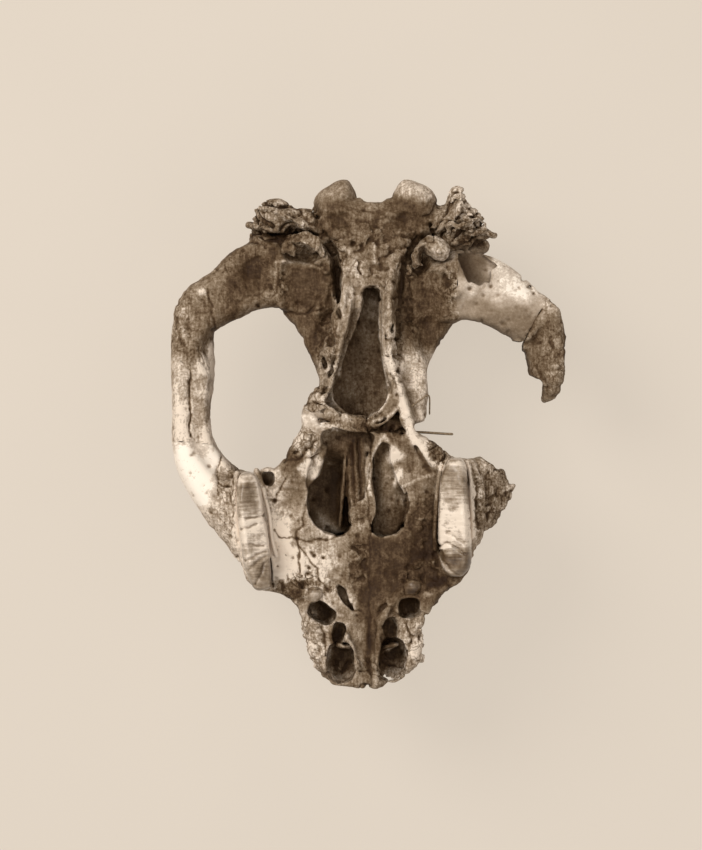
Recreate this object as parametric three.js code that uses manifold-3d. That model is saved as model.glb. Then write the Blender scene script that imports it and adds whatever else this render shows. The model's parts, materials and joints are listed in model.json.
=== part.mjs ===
// A fossil skull of the marsupial lion Thylacoleo carnifex, life size, lying on its roof as a bone rests.
// Millimetres. +Z is the palate side, which faces up, +Y is the back of the head and -Y the snout,
// so -X is the animal's left side. The floor is z = 0, under the middle of the skull's outline.
//
// The bone is modelled whole, from ovals swept along curves and ellipsoids. Openings are cut out
// of it, and narrow kerfs then part it into the bones and repairs that a person would name.
import * as THREE from "three";
import { mergeVertices } from "three/addons/utils/BufferGeometryUtils.js";
import Module from "manifold-3d";

const wasm = await Module();
wasm.setup();

// ---------------------------------------------------------------- driving dimensions
const LENGTH = 240.6; // occipital condyles to premaxillae
const WIDTH = 187; // across the cheek arches
const HEIGHT = 112; // skull roof to the cutting edges of the big premolars

const FRONT = -LENGTH / 2;
const BACK = LENGTH / 2;
const RIGHT = WIDTH / 2;
const LEFT = -RIGHT;

// Heights of the surfaces that face up.
const GUM = 95; // rims of the tooth sockets
const PALATE = 90; // middle of the hollow between them
const BASE = 77; // underside of the braincase
const ARCH = 66; // middle of the cheek arches

const CUT = 0.3; // gap between neighbouring bones
const TIP = HEIGHT - 97; // height of a blade over the middle of its root

// ---------------------------------------------------------------- materials
const TINTS = {
  bone: { color: 0x8f7a5e, roughness: 0.78 },
  stained_bone: { color: 0x5f4a34, roughness: 0.8 },
  pale_bone: { color: 0xcdbfa6, roughness: 0.85 },
  enamel: { color: 0xcabca4, roughness: 0.35 },
  plaster: { color: 0xe6ddcd, roughness: 0.95 },
  wire: { color: 0x6a5b48, roughness: 0.45, metalness: 0.8 },
};
const materials = Object.fromEntries(
  Object.entries(TINTS).map(([name, look]) => [
    name,
    new THREE.MeshStandardMaterial({ name, flatShading: true, ...look }),
  ]),
);

// ---------------------------------------------------------------- shape tools
// A closed three.js geometry as a solid that can be joined and cut.
function solid(geometry) {
  geometry.deleteAttribute("normal");
  geometry.deleteAttribute("uv");
  const merged = mergeVertices(geometry, 1e-4);
  return new wasm.Manifold(
    new wasm.Mesh({
      numProp: 3,
      vertProperties: merged.attributes.position.array,
      triVerts: new Uint32Array(merged.index.array),
    }),
  );
}

const join = (...solids) => wasm.Manifold.union(solids);

// Catmull-Rom through [a, b, c] rows.
function smooth(rows) {
  const points = rows.map((row) => new THREE.Vector3(...row));
  return new THREE.CatmullRomCurve3(points, false, "catmullrom", 0.5);
}

// A bar of oval section along a curve. Each ring is [x, y, z, across, deep]: its centre, and its
// half sizes sideways and up. `square` over 2 squares the oval off, `grow` fattens it.
function bar(rings, { sides = 8, steps = 1, square = 2, grow = 0 } = {}) {
  const spine = smooth(rings.map(([x, y, z]) => [x, y, z]));
  const radii = smooth(rings.map(([, , , across, deep]) => [across, deep, 0]));
  const spans = (rings.length - 1) * steps;
  const tube = new THREE.CylinderGeometry(1, 1, 1, sides, spans);
  const place = tube.attributes.position;
  const up = new THREE.Vector3(0, 0, 1);
  const bulge = (v) => Math.sign(v) * Math.abs(v) ** (2 / square);
  for (let i = 0; i < place.count; i++) {
    const t = THREE.MathUtils.clamp(0.5 - place.getY(i), 0, 1);
    const centre = spine.getPoint(t);
    const radius = radii.getPoint(t);
    const along = spine.getTangent(t);
    const side = new THREE.Vector3().crossVectors(up, along).normalize();
    const top = new THREE.Vector3().crossVectors(along, side);
    centre.addScaledVector(side, bulge(place.getX(i)) * (radius.x + grow));
    centre.addScaledVector(top, bulge(place.getZ(i)) * (radius.y + grow));
    place.setXYZ(i, centre.x, centre.y, centre.z);
  }
  return solid(tube);
}

// An ellipsoid: centre, half sizes, and a turn about Z in degrees.
function egg(centre, radii, turn = 0, { sides = 8, rows = 6, grow = 0 } = {}) {
  const ball = new THREE.SphereGeometry(1, sides, rows);
  const [a, b, c] = radii.map((radius) => radius + grow);
  ball.rotateX(Math.PI / 2).scale(a, b, c);
  ball.rotateZ(THREE.MathUtils.degToRad(turn)).translate(...centre);
  return solid(ball);
}

// An outline in X and Y extruded from z low to z high, rounded through its points or straight.
function slab(points, low, high, segments = 0) {
  const corners = points.map(([x, y]) => new THREE.Vector2(x, y));
  const rim = segments ? new THREE.SplineCurve([...corners, corners[0]]) : null;
  const shape = new THREE.Shape(rim ? rim.getPoints(segments).slice(0, -1) : corners);
  const block = new THREE.ExtrudeGeometry(shape, { depth: high - low, bevelEnabled: false });
  block.translate(0, 0, low);
  return solid(block);
}

// Moves every wall of a counter-clockwise outline inwards.
function inset(points, distance) {
  const inward = ([ax, ay], [bx, by]) => new THREE.Vector2(ay - by, bx - ax).normalize();
  return points.map((here, i) => {
    const n = inward(points.at(i - 1), here);
    const m = inward(here, points[(i + 1) % points.length]);
    const reach = distance / (1 + n.dot(m));
    return [here[0] + (n.x + m.x) * reach, here[1] + (n.y + m.y) * reach];
  });
}

// Keeps the largest body and drops the crumbs that cutting leaves.
function largest(body) {
  return body.decompose().reduce((best, one) => (one.volume() > best.volume() ? one : best));
}

// The same rows mirrored to the other side.
const mirrored = (rows) => rows.map(([x, ...others]) => [-x, ...others]);

// ---------------------------------------------------------------- braincase
function braincase() {
  const vault = bar(
    [
      [2.5, 101, 42.5, 25, 26],
      [2, 96, 42, 34, 33],
      [1, 82, 41, 41, 36],
      [0, 62, 40, 39, 36],
      [0, 42, 39, 30.5, 35],
      [0.5, 24, 37, 26, 33],
      [0.5, 4, 37, 26, 32],
    ],
    { sides: 12, square: 2.4 },
  );
  const crest = bar([
    [1, 98, 9, 3.5, 8],
    [0, 60, 6.5, 3.5, 6],
    [0, 22, 8.5, 9, 7.5],
  ]);
  const nape = bar([
    [-47, 90, 56, 5, 9],
    [-39, 92, 34, 4.5, 9],
    [-21, 97, 10.5, 5, 9],
    [1, 99.5, 5, 5, 6.5],
    [23, 97, 10.5, 5, 9],
    [41, 92, 34, 4.5, 9],
    [49, 90, 56, 5, 9],
  ]);
  const baseplate = bar(
    [
      [3, 110, 62, 15, 7],
      [3, 101, BASE - 9, 27, 8],
      [2, 90, BASE - 8, 24, 8],
      [2, 76, BASE - 7, 16, 8],
      [2, 60, BASE - 7, 12, 8],
    ],
    { square: 3 },
  );
  return join(vault, crest, nape, baseplate);
}

function condyles() {
  const bridge = bar([
    [-20, 102, 61, 6, 10],
    [3, 99, 63, 8, 9],
    [28, 102, 61, 6, 10],
  ]);
  const knobs = [
    egg([-16, BACK - 11.4, 60], [9.5, 11.4, 15], -20, { sides: 10 }),
    egg([21.5, BACK - 11.6, 60], [10.5, 11.4, 15], 24, { sides: 10 }),
  ];
  return join(bridge, ...knobs);
}

// The crumpled bosses behind the ears, and the blunt processes they end in.
function mastoids() {
  const lumps = [
    [[-41, 102, 66], [13.5, 8, 15], -8],
    [[-29, 101, 62], [10, 8, 16], -30],
    [[-48, 96.5, 71], [10.5, 5.5, 9], -6],
    [[-38, 92, 58], [13, 7, 16], 0],
    [[45, 101, 65], [11, 10, 16], 10],
    [[52, 94.5, 68], [9.5, 6.5, 12], -20],
    [[43, 111, 66], [4.5, 8.5, 8], -8],
    [[35, 101, 62], [8, 8, 14], 0],
    [[41, 92, 58], [13, 7, 16], 0],
  ];
  return join(...lumps.map(([centre, radii, turn]) => egg(centre, radii, turn, { rows: 5 })));
}

// The swollen rims of the ear openings, loose in hollows of their own.
const EARS = {
  left: [[[-31, 87, 74], [8, 6.5, 8], 0]],
  right: [
    [[31.5, 88, 75], [7.5, 6, 8], -25],
    [[23, 84, 74], [3.6, 7, 6], -15],
  ],
};
function tympanic(side, grow = 0) {
  return join(...EARS[side].map(([centre, radii, turn]) => egg(centre, radii, turn, { grow })));
}

// ---------------------------------------------------------------- cheek arches
const SQUAMOSAL_LEFT = [
  [-22, 75, ARCH, 17, 10],
  [-42, 75, ARCH, 17.3, 11],
  [-56, 73.5, ARCH - 1, 17, 12],
  [-68, 67.8, ARCH - 2, 14.8, 13],
  [-78.5, 59, ARCH - 2, 12.3, 14],
  [-84, 48, ARCH - 1, 9.5, 15],
  [-86.2, 38.5, ARCH, 7.4, 15],
  [-85, 29, ARCH + 1, 7.4, 14],
];
const JUGAL_LEFT = [
  [-86, 38, ARCH, 6.8, 14],
  [-83.2, 27, ARCH + 1, 9.6, 16],
  [-82.7, 14, ARCH + 2, 9.8, 18],
  [-82, 0, ARCH + 3, 9.8, 20],
  [-79.8, -11, ARCH + 4, 10.8, 21],
  [-74, -22.5, ARCH + 6, 12.5, 22],
  [-66, -32.5, ARCH + 8, 13.5, 21],
  [-53, -44, ARCH + 9, 16, 20],
];
const ARCH_RIGHT = [
  [22, 69, ARCH, 18, 10],
  [38, 69.5, ARCH, 17.5, 11],
  [52, 68, ARCH - 1, 17.3, 12],
  [64, 62, ARCH - 2, 15.5, 13],
  [75, 54.8, ARCH - 2, 13, 14],
  [83, 45, ARCH - 1, 10.5, 15],
  [85, 36, ARCH, 9.5, 15],
  [86.5, 27, ARCH + 1, 7.4, 13],
  [86, 19, ARCH + 2, 4.2, 10],
  [85, 14.5, ARCH + 2, 1.6, 7],
];
// The broken root of the right cheek, on the upper jaw.
const STUMP_RIGHT = [
  [38, -40, ARCH + 8, 17, 20],
  [52, -30, ARCH + 8, 17, 19],
  [61, -25.5, ARCH + 8, 12.5, 16],
  [67.6, -24.5, ARCH + 8, 6, 10],
];

function cheeks() {
  const behindEye = egg([-76, 20, 54], [5, 9, 18]);
  const arches = [SQUAMOSAL_LEFT, JUGAL_LEFT, ARCH_RIGHT, STUMP_RIGHT];
  return join(behindEye, ...arches.map((rings) => bar(rings, { sides: 10, square: 2.6 })));
}

// ---------------------------------------------------------------- face
function face() {
  const brow = bar(
    [
      [0, 22, 17, 22, 12],
      [0, 6, 15, 31, 13],
      [0, -10, 14, 37, 14],
      [0, -28, 16, 35, 16],
      [0, -50, 24, 31, 18],
      [0, -70, 33, 27, 17],
      [0, -90, 43, 23, 14],
      [0, -104, 49, 19, 11],
    ],
    { sides: 10, square: 2.4 },
  );
  const stubs = [-1, 1].map((side) => egg([side * 34, -5, 22], [7, 8, 12], side * 25, { rows: 4 }));
  const walls = bar(
    [
      [1.5, 18, 48, 26, 32],
      [1, -4, 48, 26, 34],
      [-1, -24, 50, 28, 36],
      [-2, -48, 54, 34, 36],
      [-2, -70, 59, 33, 32],
      [-1.5, -88, 63, 27, 26],
      [-1.5, -104, 67, 24.5, 21],
      [-1.5, -114, 72, 16.5, 15],
      [-1, -119.5, 75, 7, 10],
    ],
    { sides: 10, square: 2.6 },
  );
  const jaws = bar(
    [
      [-4, -14, 81, 42, 9],
      [-5, -22, 80, 49, 13],
      [-5.5, -40, 78.5, 53.5, 17],
      [-5.5, -56, 78, 52, 18],
      [-5, -66, 77, 46.5, 18.5],
      [-4, -73, 77, 40.5, 18.5],
      [-3, -80, 77, 33, 18.5],
      [-2.8, -90, 77, 27.6, 18.5],
      [-1.8, -103, 77, 26, 18],
      [-1.4, -110.5, 77, 20.6, 17],
      [-1.5, -116, 77, 14.5, 15],
      [-1.5, -119.6, 78, 8, 11],
    ],
    { sides: 12, square: 3 },
  );
  const vaulting = egg([-5, -46, PALATE + 12], [32, 46, 12], 0, { sides: 12 });
  const shelves = [
    slab([[-49, -30], [-22, -30], [-22, 3], [-31.5, 5], [-36, -6], [-42, -15], [-49, -20]], 80, PALATE + 1),
    slab([[14, -30], [36, -30], [38, -15], [33, -11], [24, -4], [15, 4], [12, -6]], 78, PALATE),
  ];
  return join(brow, walls, ...stubs, ...shelves, jaws.subtract(vaulting));
}

// Thin walls that stand on both sides of the opening behind the palate, and the bridge between them.
function throatWalls() {
  const left = [
    [-11, 84, 71, 3.5, 7],
    [-11.5, 66, 74, 4.5, 10],
    [-14, 50, 77, 5.5, 12],
    [-18.5, 36, 79, 6, 12],
    [-23.5, 24, 81, 6.5, 11],
    [-27, 15, 83, 6, 9],
    [-28.5, 7, 84, 5, 8],
    [-31, -3, 83, 5.5, 8],
    [-40, -17, 82, 7, 9],
  ];
  const right = [
    [13, 84, 71, 4, 7],
    [10, 66, 74, 4, 10],
    [8, 50, 77, 4, 13],
    [8.5, 36, 79, 3.5, 13],
    [12, 22, 81, 3.5, 12],
    [17, 8, 83, 3.5, 10],
    [23, -3, 84, 4.5, 9],
    [34, -15, 84, 5, 9],
  ];
  const bridge = [
    [-27, 12, 84, 4, 4.5],
    [-17, 8, 85, 4, 4.5],
    [-2, 5.5, 85, 3.6, 4],
    [9, 9, 85, 3.6, 4],
    [15, 15, 84, 3.2, 4.5],
  ];
  return join(...[left, right, bridge].map((rings) => bar(rings, { sides: 6 })));
}

// The upright plate that divides the nose, under the bar between the two windows of the palate.
function vomer() {
  return bar(
    [
      [-3, 6, 62, 1.6, 16],
      [-4, -20, 58, 2, 30],
      [-4, -48, 58, 2, 30],
      [-3, -66, 58, 2, 26],
    ],
    { sides: 8, square: 5 },
  );
}

// Swellings of the brows, cut flat where the skull stands on them. Behind, it stands on the nape.
const feet = () => join(...[-1, 1].map((side) => egg([side * 21, -14, 5], [10, 12, 6.5], 0, { rows: 4 })));

// ---------------------------------------------------------------- openings
function openings() {
  const nose = bar(
    [
      [0, 14, 64, 8, 12],
      [0, -4, 59, 18, 21],
      [0, -30, 58, 22, 26],
      [0, -56, 58, 21, 24],
      [0, -80, 57, 18, 18],
      [0, -102, 57, 16, 16],
      [0, -124, 57, 16, 17],
    ],
    { sides: 8, square: 2.8 },
  );
  const throat = slab(
    [[-3, 67], [-8, 50], [-14.5, 32], [-20, 18], [-17, 10.5], [-4, 8.5], [4, 9.5], [8.5, 17], [6, 30], [5, 50], [4, 67]],
    58,
    HEIGHT,
    14,
  );
  const leftWindow = slab(
    [[-24, 4], [-27, -15], [-29, -32], [-23, -43], [-14, -47.5], [-9, -42], [-9, -8], [-12, 3]],
    64,
    HEIGHT,
    14,
  );
  const rightWindow = slab(
    [[8, -2], [3, -7], [1, -16], [2, -34], [5, -46], [13, -45], [18, -36], [17, -25], [13, -9]],
    64,
    HEIGHT,
    14,
  );
  const spinalCanal = egg([3, 110, 47], [11, 18, 11], 0, { sides: 10 });
  return join(nose, throat, leftWindow, rightWindow, spinalCanal);
}

// Empty sockets of the front teeth and of the left molar: [x, y, half width, half length, turn].
const SOCKETS = [
  [-12.5, -108, 6.3, 9, 4],
  [10.5, -105, 6.3, 10.5, -4],
  [-14, -93.5, 3, 4.6, -10],
  [10.5, -90, 3.2, 4.8, 8],
  [-22, -83.5, 6.3, 4.4, -35],
  [18.5, -79.5, 5.2, 4.7, 0],
  [-47.7, -22, 3.4, 3.8, 0],
];
function sockets() {
  const pits = SOCKETS.map(([x, y, wide, long, turn]) =>
    egg([x, y, GUM - 3], [wide, long, wide * 2.2], turn, { sides: 8, rows: 4 }),
  );
  const incisiveSlit = egg([-10, -78, GUM - 3], [1.8, 6, 5], 28, { sides: 8, rows: 4 });
  return join(...pits, incisiveSlit);
}

// Hollows on the outside: the jaw joints and the eye sockets.
function hollows() {
  const socket = { sides: 10 };
  return join(
    egg([-59, 76, ARCH + 20], [15, 13, 12], -30),
    egg([50, 64, ARCH + 20], [13, 12, 12], 20),
    egg([-47, -10, 44], [19, 20, 24], -10, socket),
    egg([47, -10, 44], [19, 20, 24], 10, socket),
  );
}

// ---------------------------------------------------------------- teeth
// The two long cutting premolars, from the back to the front.
const BLADES = {
  left: [
    [-60, -19.5, GUM, 2.5, TIP - 9],
    [-59.5, -23, 97, 5, TIP - 4],
    [-57.5, -34, 97, 6.4, TIP],
    [-55.5, -46, 97, 6.8, TIP],
    [-53.5, -58, 97, 7, TIP],
    [-51.5, -67, 96, 6.4, TIP - 2],
    [-49.5, -73, 94, 3, TIP - 7],
  ],
  right: [
    [40.5, -12.5, GUM, 2.5, TIP - 9],
    [40.5, -16, 97, 5, TIP - 4],
    [40.5, -28, 97, 6.6, TIP],
    [40.8, -40, 97, 7, TIP],
    [40.5, -52, 97, 7.2, TIP],
    [39.5, -62, 96, 6.8, TIP - 2],
    [38, -69.5, 94, 3, TIP - 7],
  ],
};

// A blade whose inner side is worn to a slope, which rises from the gum to an edge near the cheek.
function blade(side, grow = 0) {
  const rings = BLADES[side];
  const [ax, ay] = rings[2];
  const [bx, by] = rings[4];
  const cheek = side === "left" ? -1 : 1;
  const out = new THREE.Vector3((by - ay) * -cheek, (bx - ax) * cheek, 0).normalize();
  const slope = new THREE.Vector3(0, 0, 1).addScaledVector(out, -1.25).normalize();
  const edge = new THREE.Vector3(ax, ay, HEIGHT + 1).addScaledVector(out, 3.5);
  const tooth = bar(rings, { sides: 10, square: 3, grow });
  return tooth.trimByPlane(slope.clone().negate().toArray(), -slope.dot(edge) - grow);
}

// The stubs of the small teeth ahead of the blades.
const PEGS = {
  left: [-26, -75.5, GUM - 1],
  right: [20, -72, GUM - 1],
};
const peg = (side, grow = 0) => egg(PEGS[side], [4.2, 3.7, 6], 0, { sides: 8, grow });

// ---------------------------------------------------------------- repairs
const WIRES = {
  long: [
    [-8, -2, 80, 0.7, 0.7],
    [16, 0.5, 80, 0.7, 0.7],
    [39, -0.5, 80, 0.7, 0.7],
  ],
  short: [
    [17, 10.5, 86, 0.4, 0.4],
    [24, 15.5, 86.5, 0.4, 0.4],
    [28, 17.5, 86, 0.4, 0.4],
    [28.4, 9, 82, 0.4, 0.4],
  ],
};
const wire = (name, grow = 0) => bar(WIRES[name], { sides: 6, grow });

// ---------------------------------------------------------------- whole skull
const loose = (grow) => [
  tympanic("left", grow),
  tympanic("right", grow),
  blade("left", grow),
  blade("right", grow),
  peg("left", grow),
  peg("right", grow),
  wire("long", grow),
  wire("short", grow),
];
let rest = join(
  braincase(),
  condyles(),
  mastoids(),
  cheeks(),
  face(),
  feet(),
  throatWalls(),
)
  .subtract(join(openings(), sockets(), hollows()))
  .add(vomer())
  .subtract(join(...loose(CUT)))
  .intersect(slab([[LEFT, FRONT], [RIGHT, FRONT], [RIGHT, BACK], [LEFT, BACK]], 0, HEIGHT));

// ---------------------------------------------------------------- parting the bones
// Takes the body inside an outline, between two heights, off the rest, and leaves a kerf round it.
function take(outline, low = -1, high = HEIGHT + 1) {
  const piece = rest.intersect(slab(inset(outline, CUT), low + CUT, high - CUT));
  rest = rest.subtract(slab(outline, low, high));
  return piece;
}

// Takes the body under a plane through `point` that slopes down by `fall` per millimetre of +Y.
function takeUnder([, y, z], fall) {
  const normal = new THREE.Vector3(0, fall, 1).normalize();
  const offset = normal.dot(new THREE.Vector3(0, y, z));
  const below = rest.trimByPlane(normal.clone().negate().toArray(), -offset + CUT);
  rest = rest.trimByPlane(normal.toArray(), offset);
  return below;
}

// Sutures and breaks, as outlines in X and Y, counter-clockwise from above.
const SUTURES = {
  mastoid_left: [[-66, 90.5], [-24, 90.5], [-25, 106], [-35, 116], [-66, 116]],
  mastoid_right: [[29, 91], [66, 87], [66, 122], [37, 122], [32.5, 106]],
  squamosal_left: [[-71.4, 45], [-21, 53], [-21, 90.2], [-84, 90.2], [-80, 72], [-76.5, 66.7], [-73.3, 55.5]],
  jugal_left_rear: [[-95, 38], [-88.8, 34.3], [-84, 29.6], [-71, 29], [-71.4, 46], [-73.3, 55.5], [-76.5, 66.7], [-80, 72], [-95, 74]],
  jugal_left: [[-95, -3], [-70, -5.5], [-68, 29], [-84, 29.3], [-88.8, 34], [-95, 37.7]],
  plaster_cheek_left: [[-95, -34], [-79, -34], [-74.5, -33], [-70.5, -29], [-71.4, -20], [-69.6, -9], [-70, -5.8], [-95, -3.3]],
  squamosal_right: [[20.5, 48], [45, 50], [41, 62], [42, 79], [40, 90.4], [20.5, 88]],
  plaster_cheek_right: [[44, 48], [73, 43.5], [75.2, 48.4], [78, 54], [82, 60], [82, 90], [40.3, 92], [42.3, 79], [41.3, 62]],
  jugal_right: [[72, 5], [96, 5], [96, 66], [82, 66], [82, 59], [78, 53], [75.2, 47.5], [73.3, 42.5]],
  premaxilla_right: [[-1, -125], [40, -125], [40, -86.2], [-2.2, -87.8]],
  premaxilla_left: [[-40, -125], [-1, -125], [-2.2, -87.8], [-40, -89.6]],
  maxilla_right: [[-2.2, -87.8], [49, -86], [60, 13], [-4, 13], [-3.4, -48]],
  maxilla_right_rear: [[48.5, -62], [72, -62], [72, -8], [48.5, -8]],
  pterygoid_left: [[-33, 12.5], [-26.5, 10], [-19.5, 12.5], [-19, 22], [-14, 33], [-9, 50], [-6.5, 68], [-17, 68], [-19, 50]],
  plaster_pterygoid_left: [[-35, 4.8], [-22, -1], [-21.5, 9], [-26.6, 9.6], [-33, 12.2]],
  palatine_bridge: [[-21.2, -1], [8, -0.5], [11.5, 5.5], [8.5, 14], [0, 12], [-19.3, 15], [-19.3, 12.2], [-21.2, 10]],
  pterygoid_right: [[20, -4.5], [29, 0], [17, 20], [13, 40], [14.5, 68], [5, 68], [3.5, 50], [4.5, 36], [7, 22], [8.8, 14], [11.8, 5.5]],
};

const skull = new THREE.Group();

function add(name, tint, body) {
  const { vertProperties, triVerts } = largest(body).getMesh();
  const geometry = new THREE.BufferGeometry();
  geometry.setAttribute("position", new THREE.BufferAttribute(vertProperties, 3));
  geometry.setIndex(new THREE.BufferAttribute(triVerts, 1));
  const mesh = new THREE.Mesh(geometry, materials[tint]);
  mesh.name = name;
  skull.add(mesh);
}

const ARCH_LOW = 34;
const WALL_LOW = 73;
add("mastoid_left", "stained_bone", take(SUTURES.mastoid_left, 50));
add("mastoid_right", "stained_bone", take(SUTURES.mastoid_right, 50));
add("tympanic_left", "bone", tympanic("left"));
add("tympanic_right", "bone", tympanic("right"));
add("jugal_left_rear", "stained_bone", take(SUTURES.jugal_left_rear, ARCH_LOW));
add("jugal_left", "pale_bone", take(SUTURES.jugal_left, ARCH_LOW));
add("plaster_cheek_left", "plaster", take(SUTURES.plaster_cheek_left, ARCH_LOW));
add("jugal_right", "stained_bone", take(SUTURES.jugal_right, ARCH_LOW));
add("plaster_cheek_right", "plaster", take(SUTURES.plaster_cheek_right, 49));
add("pterygoid_left", "bone", take(SUTURES.pterygoid_left, WALL_LOW));
add("pterygoid_right", "pale_bone", take(SUTURES.pterygoid_right, WALL_LOW));
add("plaster_pterygoid_left", "plaster", take(SUTURES.plaster_pterygoid_left, WALL_LOW));
add("palatine_bridge", "bone", take(SUTURES.palatine_bridge, WALL_LOW));
add("squamosal_left", "bone", take(SUTURES.squamosal_left, 49));
add("squamosal_right", "stained_bone", take(SUTURES.squamosal_right, 49));
add("maxilla_right_rear", "stained_bone", take(SUTURES.maxilla_right_rear, ARCH_LOW));
add("occipital", "bone", take([[-62, 93], [62, 93], [62, 123], [-62, 123]]));
const THROAT_LOW = 57;
add("sphenoid_left", "bone", take([[-45, 12], [-2, 12], [-2, 68], [-45, 68]], THROAT_LOW));
add("sphenoid_right", "bone", take([[-2, 12], [45, 12], [45, 68], [-2, 68]], THROAT_LOW));
add("braincase", "bone", take([[-62, 12], [62, 12], [62, 93], [-62, 93]]));
const roof = takeUnder([0, 12, 26], 0.2);
add("frontals", "bone", roof.trimByPlane([0, 1, 0], -46));
add("nasals", "bone", roof.trimByPlane([0, -1, 0], 46 + CUT));
add("vomer", "bone", take([[-6.5, -70], [-1.5, -70], [-1.3, 11], [-6.3, 11]], -1, 84.5));
add("premaxilla_right", "bone", take(SUTURES.premaxilla_right));
add("premaxilla_left", "bone", take(SUTURES.premaxilla_left));
add("maxilla_right", "bone", take(SUTURES.maxilla_right));
add("maxilla_left", "pale_bone", rest);
add("premolar_left", "enamel", blade("left"));
add("premolar_right", "enamel", blade("right"));
add("peg_left", "enamel", peg("left"));
add("peg_right", "enamel", peg("right"));
add("wire_long", "wire", wire("long"));
add("wire_short", "wire", wire("short"));

export default skull;
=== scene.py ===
"""A fossil skull of the marsupial lion, lying on its roof with the palate up, on a pale floor.

The bone is sculpted as one signed distance in millimetres on a regular grid, in the frame of the
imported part: +Z is the palate side, +Y the back of the head, and -X the animal's left. Forms are
joined to it and cut from it, noise roughens it, and sutures then part it into one piece for each
node of the part. Teeth, ear bones and wires have grids of their own.
"""

import json
import math

import bpy
import numpy as np
import openvdb
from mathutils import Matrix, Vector


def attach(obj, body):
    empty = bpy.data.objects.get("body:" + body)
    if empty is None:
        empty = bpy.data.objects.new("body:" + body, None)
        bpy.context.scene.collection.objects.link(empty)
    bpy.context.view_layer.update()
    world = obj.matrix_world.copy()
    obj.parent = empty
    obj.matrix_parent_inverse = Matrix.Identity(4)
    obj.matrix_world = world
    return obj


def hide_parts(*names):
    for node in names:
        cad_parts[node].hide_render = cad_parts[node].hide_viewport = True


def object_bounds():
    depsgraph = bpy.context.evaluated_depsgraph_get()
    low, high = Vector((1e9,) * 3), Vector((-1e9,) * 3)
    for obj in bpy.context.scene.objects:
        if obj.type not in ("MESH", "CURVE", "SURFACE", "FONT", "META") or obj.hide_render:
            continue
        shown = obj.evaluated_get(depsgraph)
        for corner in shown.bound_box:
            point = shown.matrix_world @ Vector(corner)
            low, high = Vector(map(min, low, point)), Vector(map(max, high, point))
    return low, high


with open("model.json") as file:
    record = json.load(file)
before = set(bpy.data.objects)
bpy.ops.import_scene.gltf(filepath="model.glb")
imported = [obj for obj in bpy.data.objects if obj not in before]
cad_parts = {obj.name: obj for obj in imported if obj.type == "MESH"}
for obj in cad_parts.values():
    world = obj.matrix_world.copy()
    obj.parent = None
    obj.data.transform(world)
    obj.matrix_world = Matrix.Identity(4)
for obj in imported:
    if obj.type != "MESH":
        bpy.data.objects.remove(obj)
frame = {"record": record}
cad_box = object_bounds()

MM = 0.001
FAR = 6.0  # distances are kept within this of the surface
TINY = 1e-9
STEP = 0.62  # grid step of the skull
LOW = (-95.5, -122.5, -1.5)
HIGH = (95.5, 122.5, 113.5)
NOISE_LEVEL = 2.4  # brings the spread of a smoothed noise to about 0.4

# Heights of the surfaces that face up.
TIP = 112.0  # cutting edges of the big premolars
GUM = 95.0  # rims of the tooth sockets
PALATE = 90.5  # middle of the hollow between them
BASE = 77.0  # underside of the braincase
ARCH = 66.0  # middle of the cheek arches
FACES_UP = 60.0  # all that is drawn or pressed on the palate side lies over this
FLOOR = 0.0
BELOW_ALL, ABOVE_ALL = -5, 130


# ---------------------------------------------------------------- small mathematics
def ramp(value, start, end):
    """0 at start, 1 at end, smooth between."""
    t = np.clip((value - start) / (end - start), 0, 1)
    return t * t * (3 - 2 * t)


def soft_min(a, b, blend):
    """The lower of two distances, with a fillet where they meet."""
    if blend <= 0:
        return np.minimum(a, b)
    close = np.maximum(blend - np.abs(a - b), 0)
    return np.minimum(a, b) - close * close / (4 * blend)


def soft_max(a, b, blend):
    return -soft_min(-a, -b, blend)


def spline(rows, spans, closed=False):
    """Catmull-Rom through the rows, with `spans` steps between two rows."""
    rows = np.asarray(rows, float)
    if closed:
        padded = np.vstack([rows[-1:], rows, rows[:2]])
    else:
        padded = np.vstack([2 * rows[0] - rows[1], rows, 2 * rows[-1] - rows[-2]])
    t = (np.arange(spans) / spans)[:, None]
    made = []
    for a, b, c, d in zip(padded, padded[1:], padded[2:], padded[3:]):
        turn = (2 * a - 5 * b + 4 * c - d) * t**2 + (3 * b - a - 3 * c + d) * t**3
        made.append(0.5 * (2 * b + (c - a) * t + turn))
    if not closed:
        made.append(rows[-1:])
    return np.vstack(made)


def spline_shares(t):
    """How much each of four neighbours counts in a cubic B-spline."""
    return (
        (1 - t) ** 3 / 6,
        (3 * t**3 - 6 * t**2 + 4) / 6,
        (3 * (t + t**2 - t**3) + 1) / 6,
        t**3 / 6,
    )


def power_distance(offsets, radii, power):
    """Roughly the distance to a rounded box or ellipsoid with these half sizes."""
    shares = [np.abs(o) / r for o, r in zip(offsets, radii)]
    if power == 2:
        r = np.sqrt(sum(s * s for s in shares))
    elif power == 3:
        r = np.cbrt(sum(s * s * s for s in shares))
    else:
        r = np.sqrt(np.sqrt(sum((s * s) ** 2 for s in shares)))
    steep = np.sqrt(sum((s ** (power - 1) / q) ** 2 for s, q in zip(shares, radii)))
    return (r - 1) * np.maximum(r, 0.05) ** (power - 1) / (steep + 1e-6)


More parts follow.
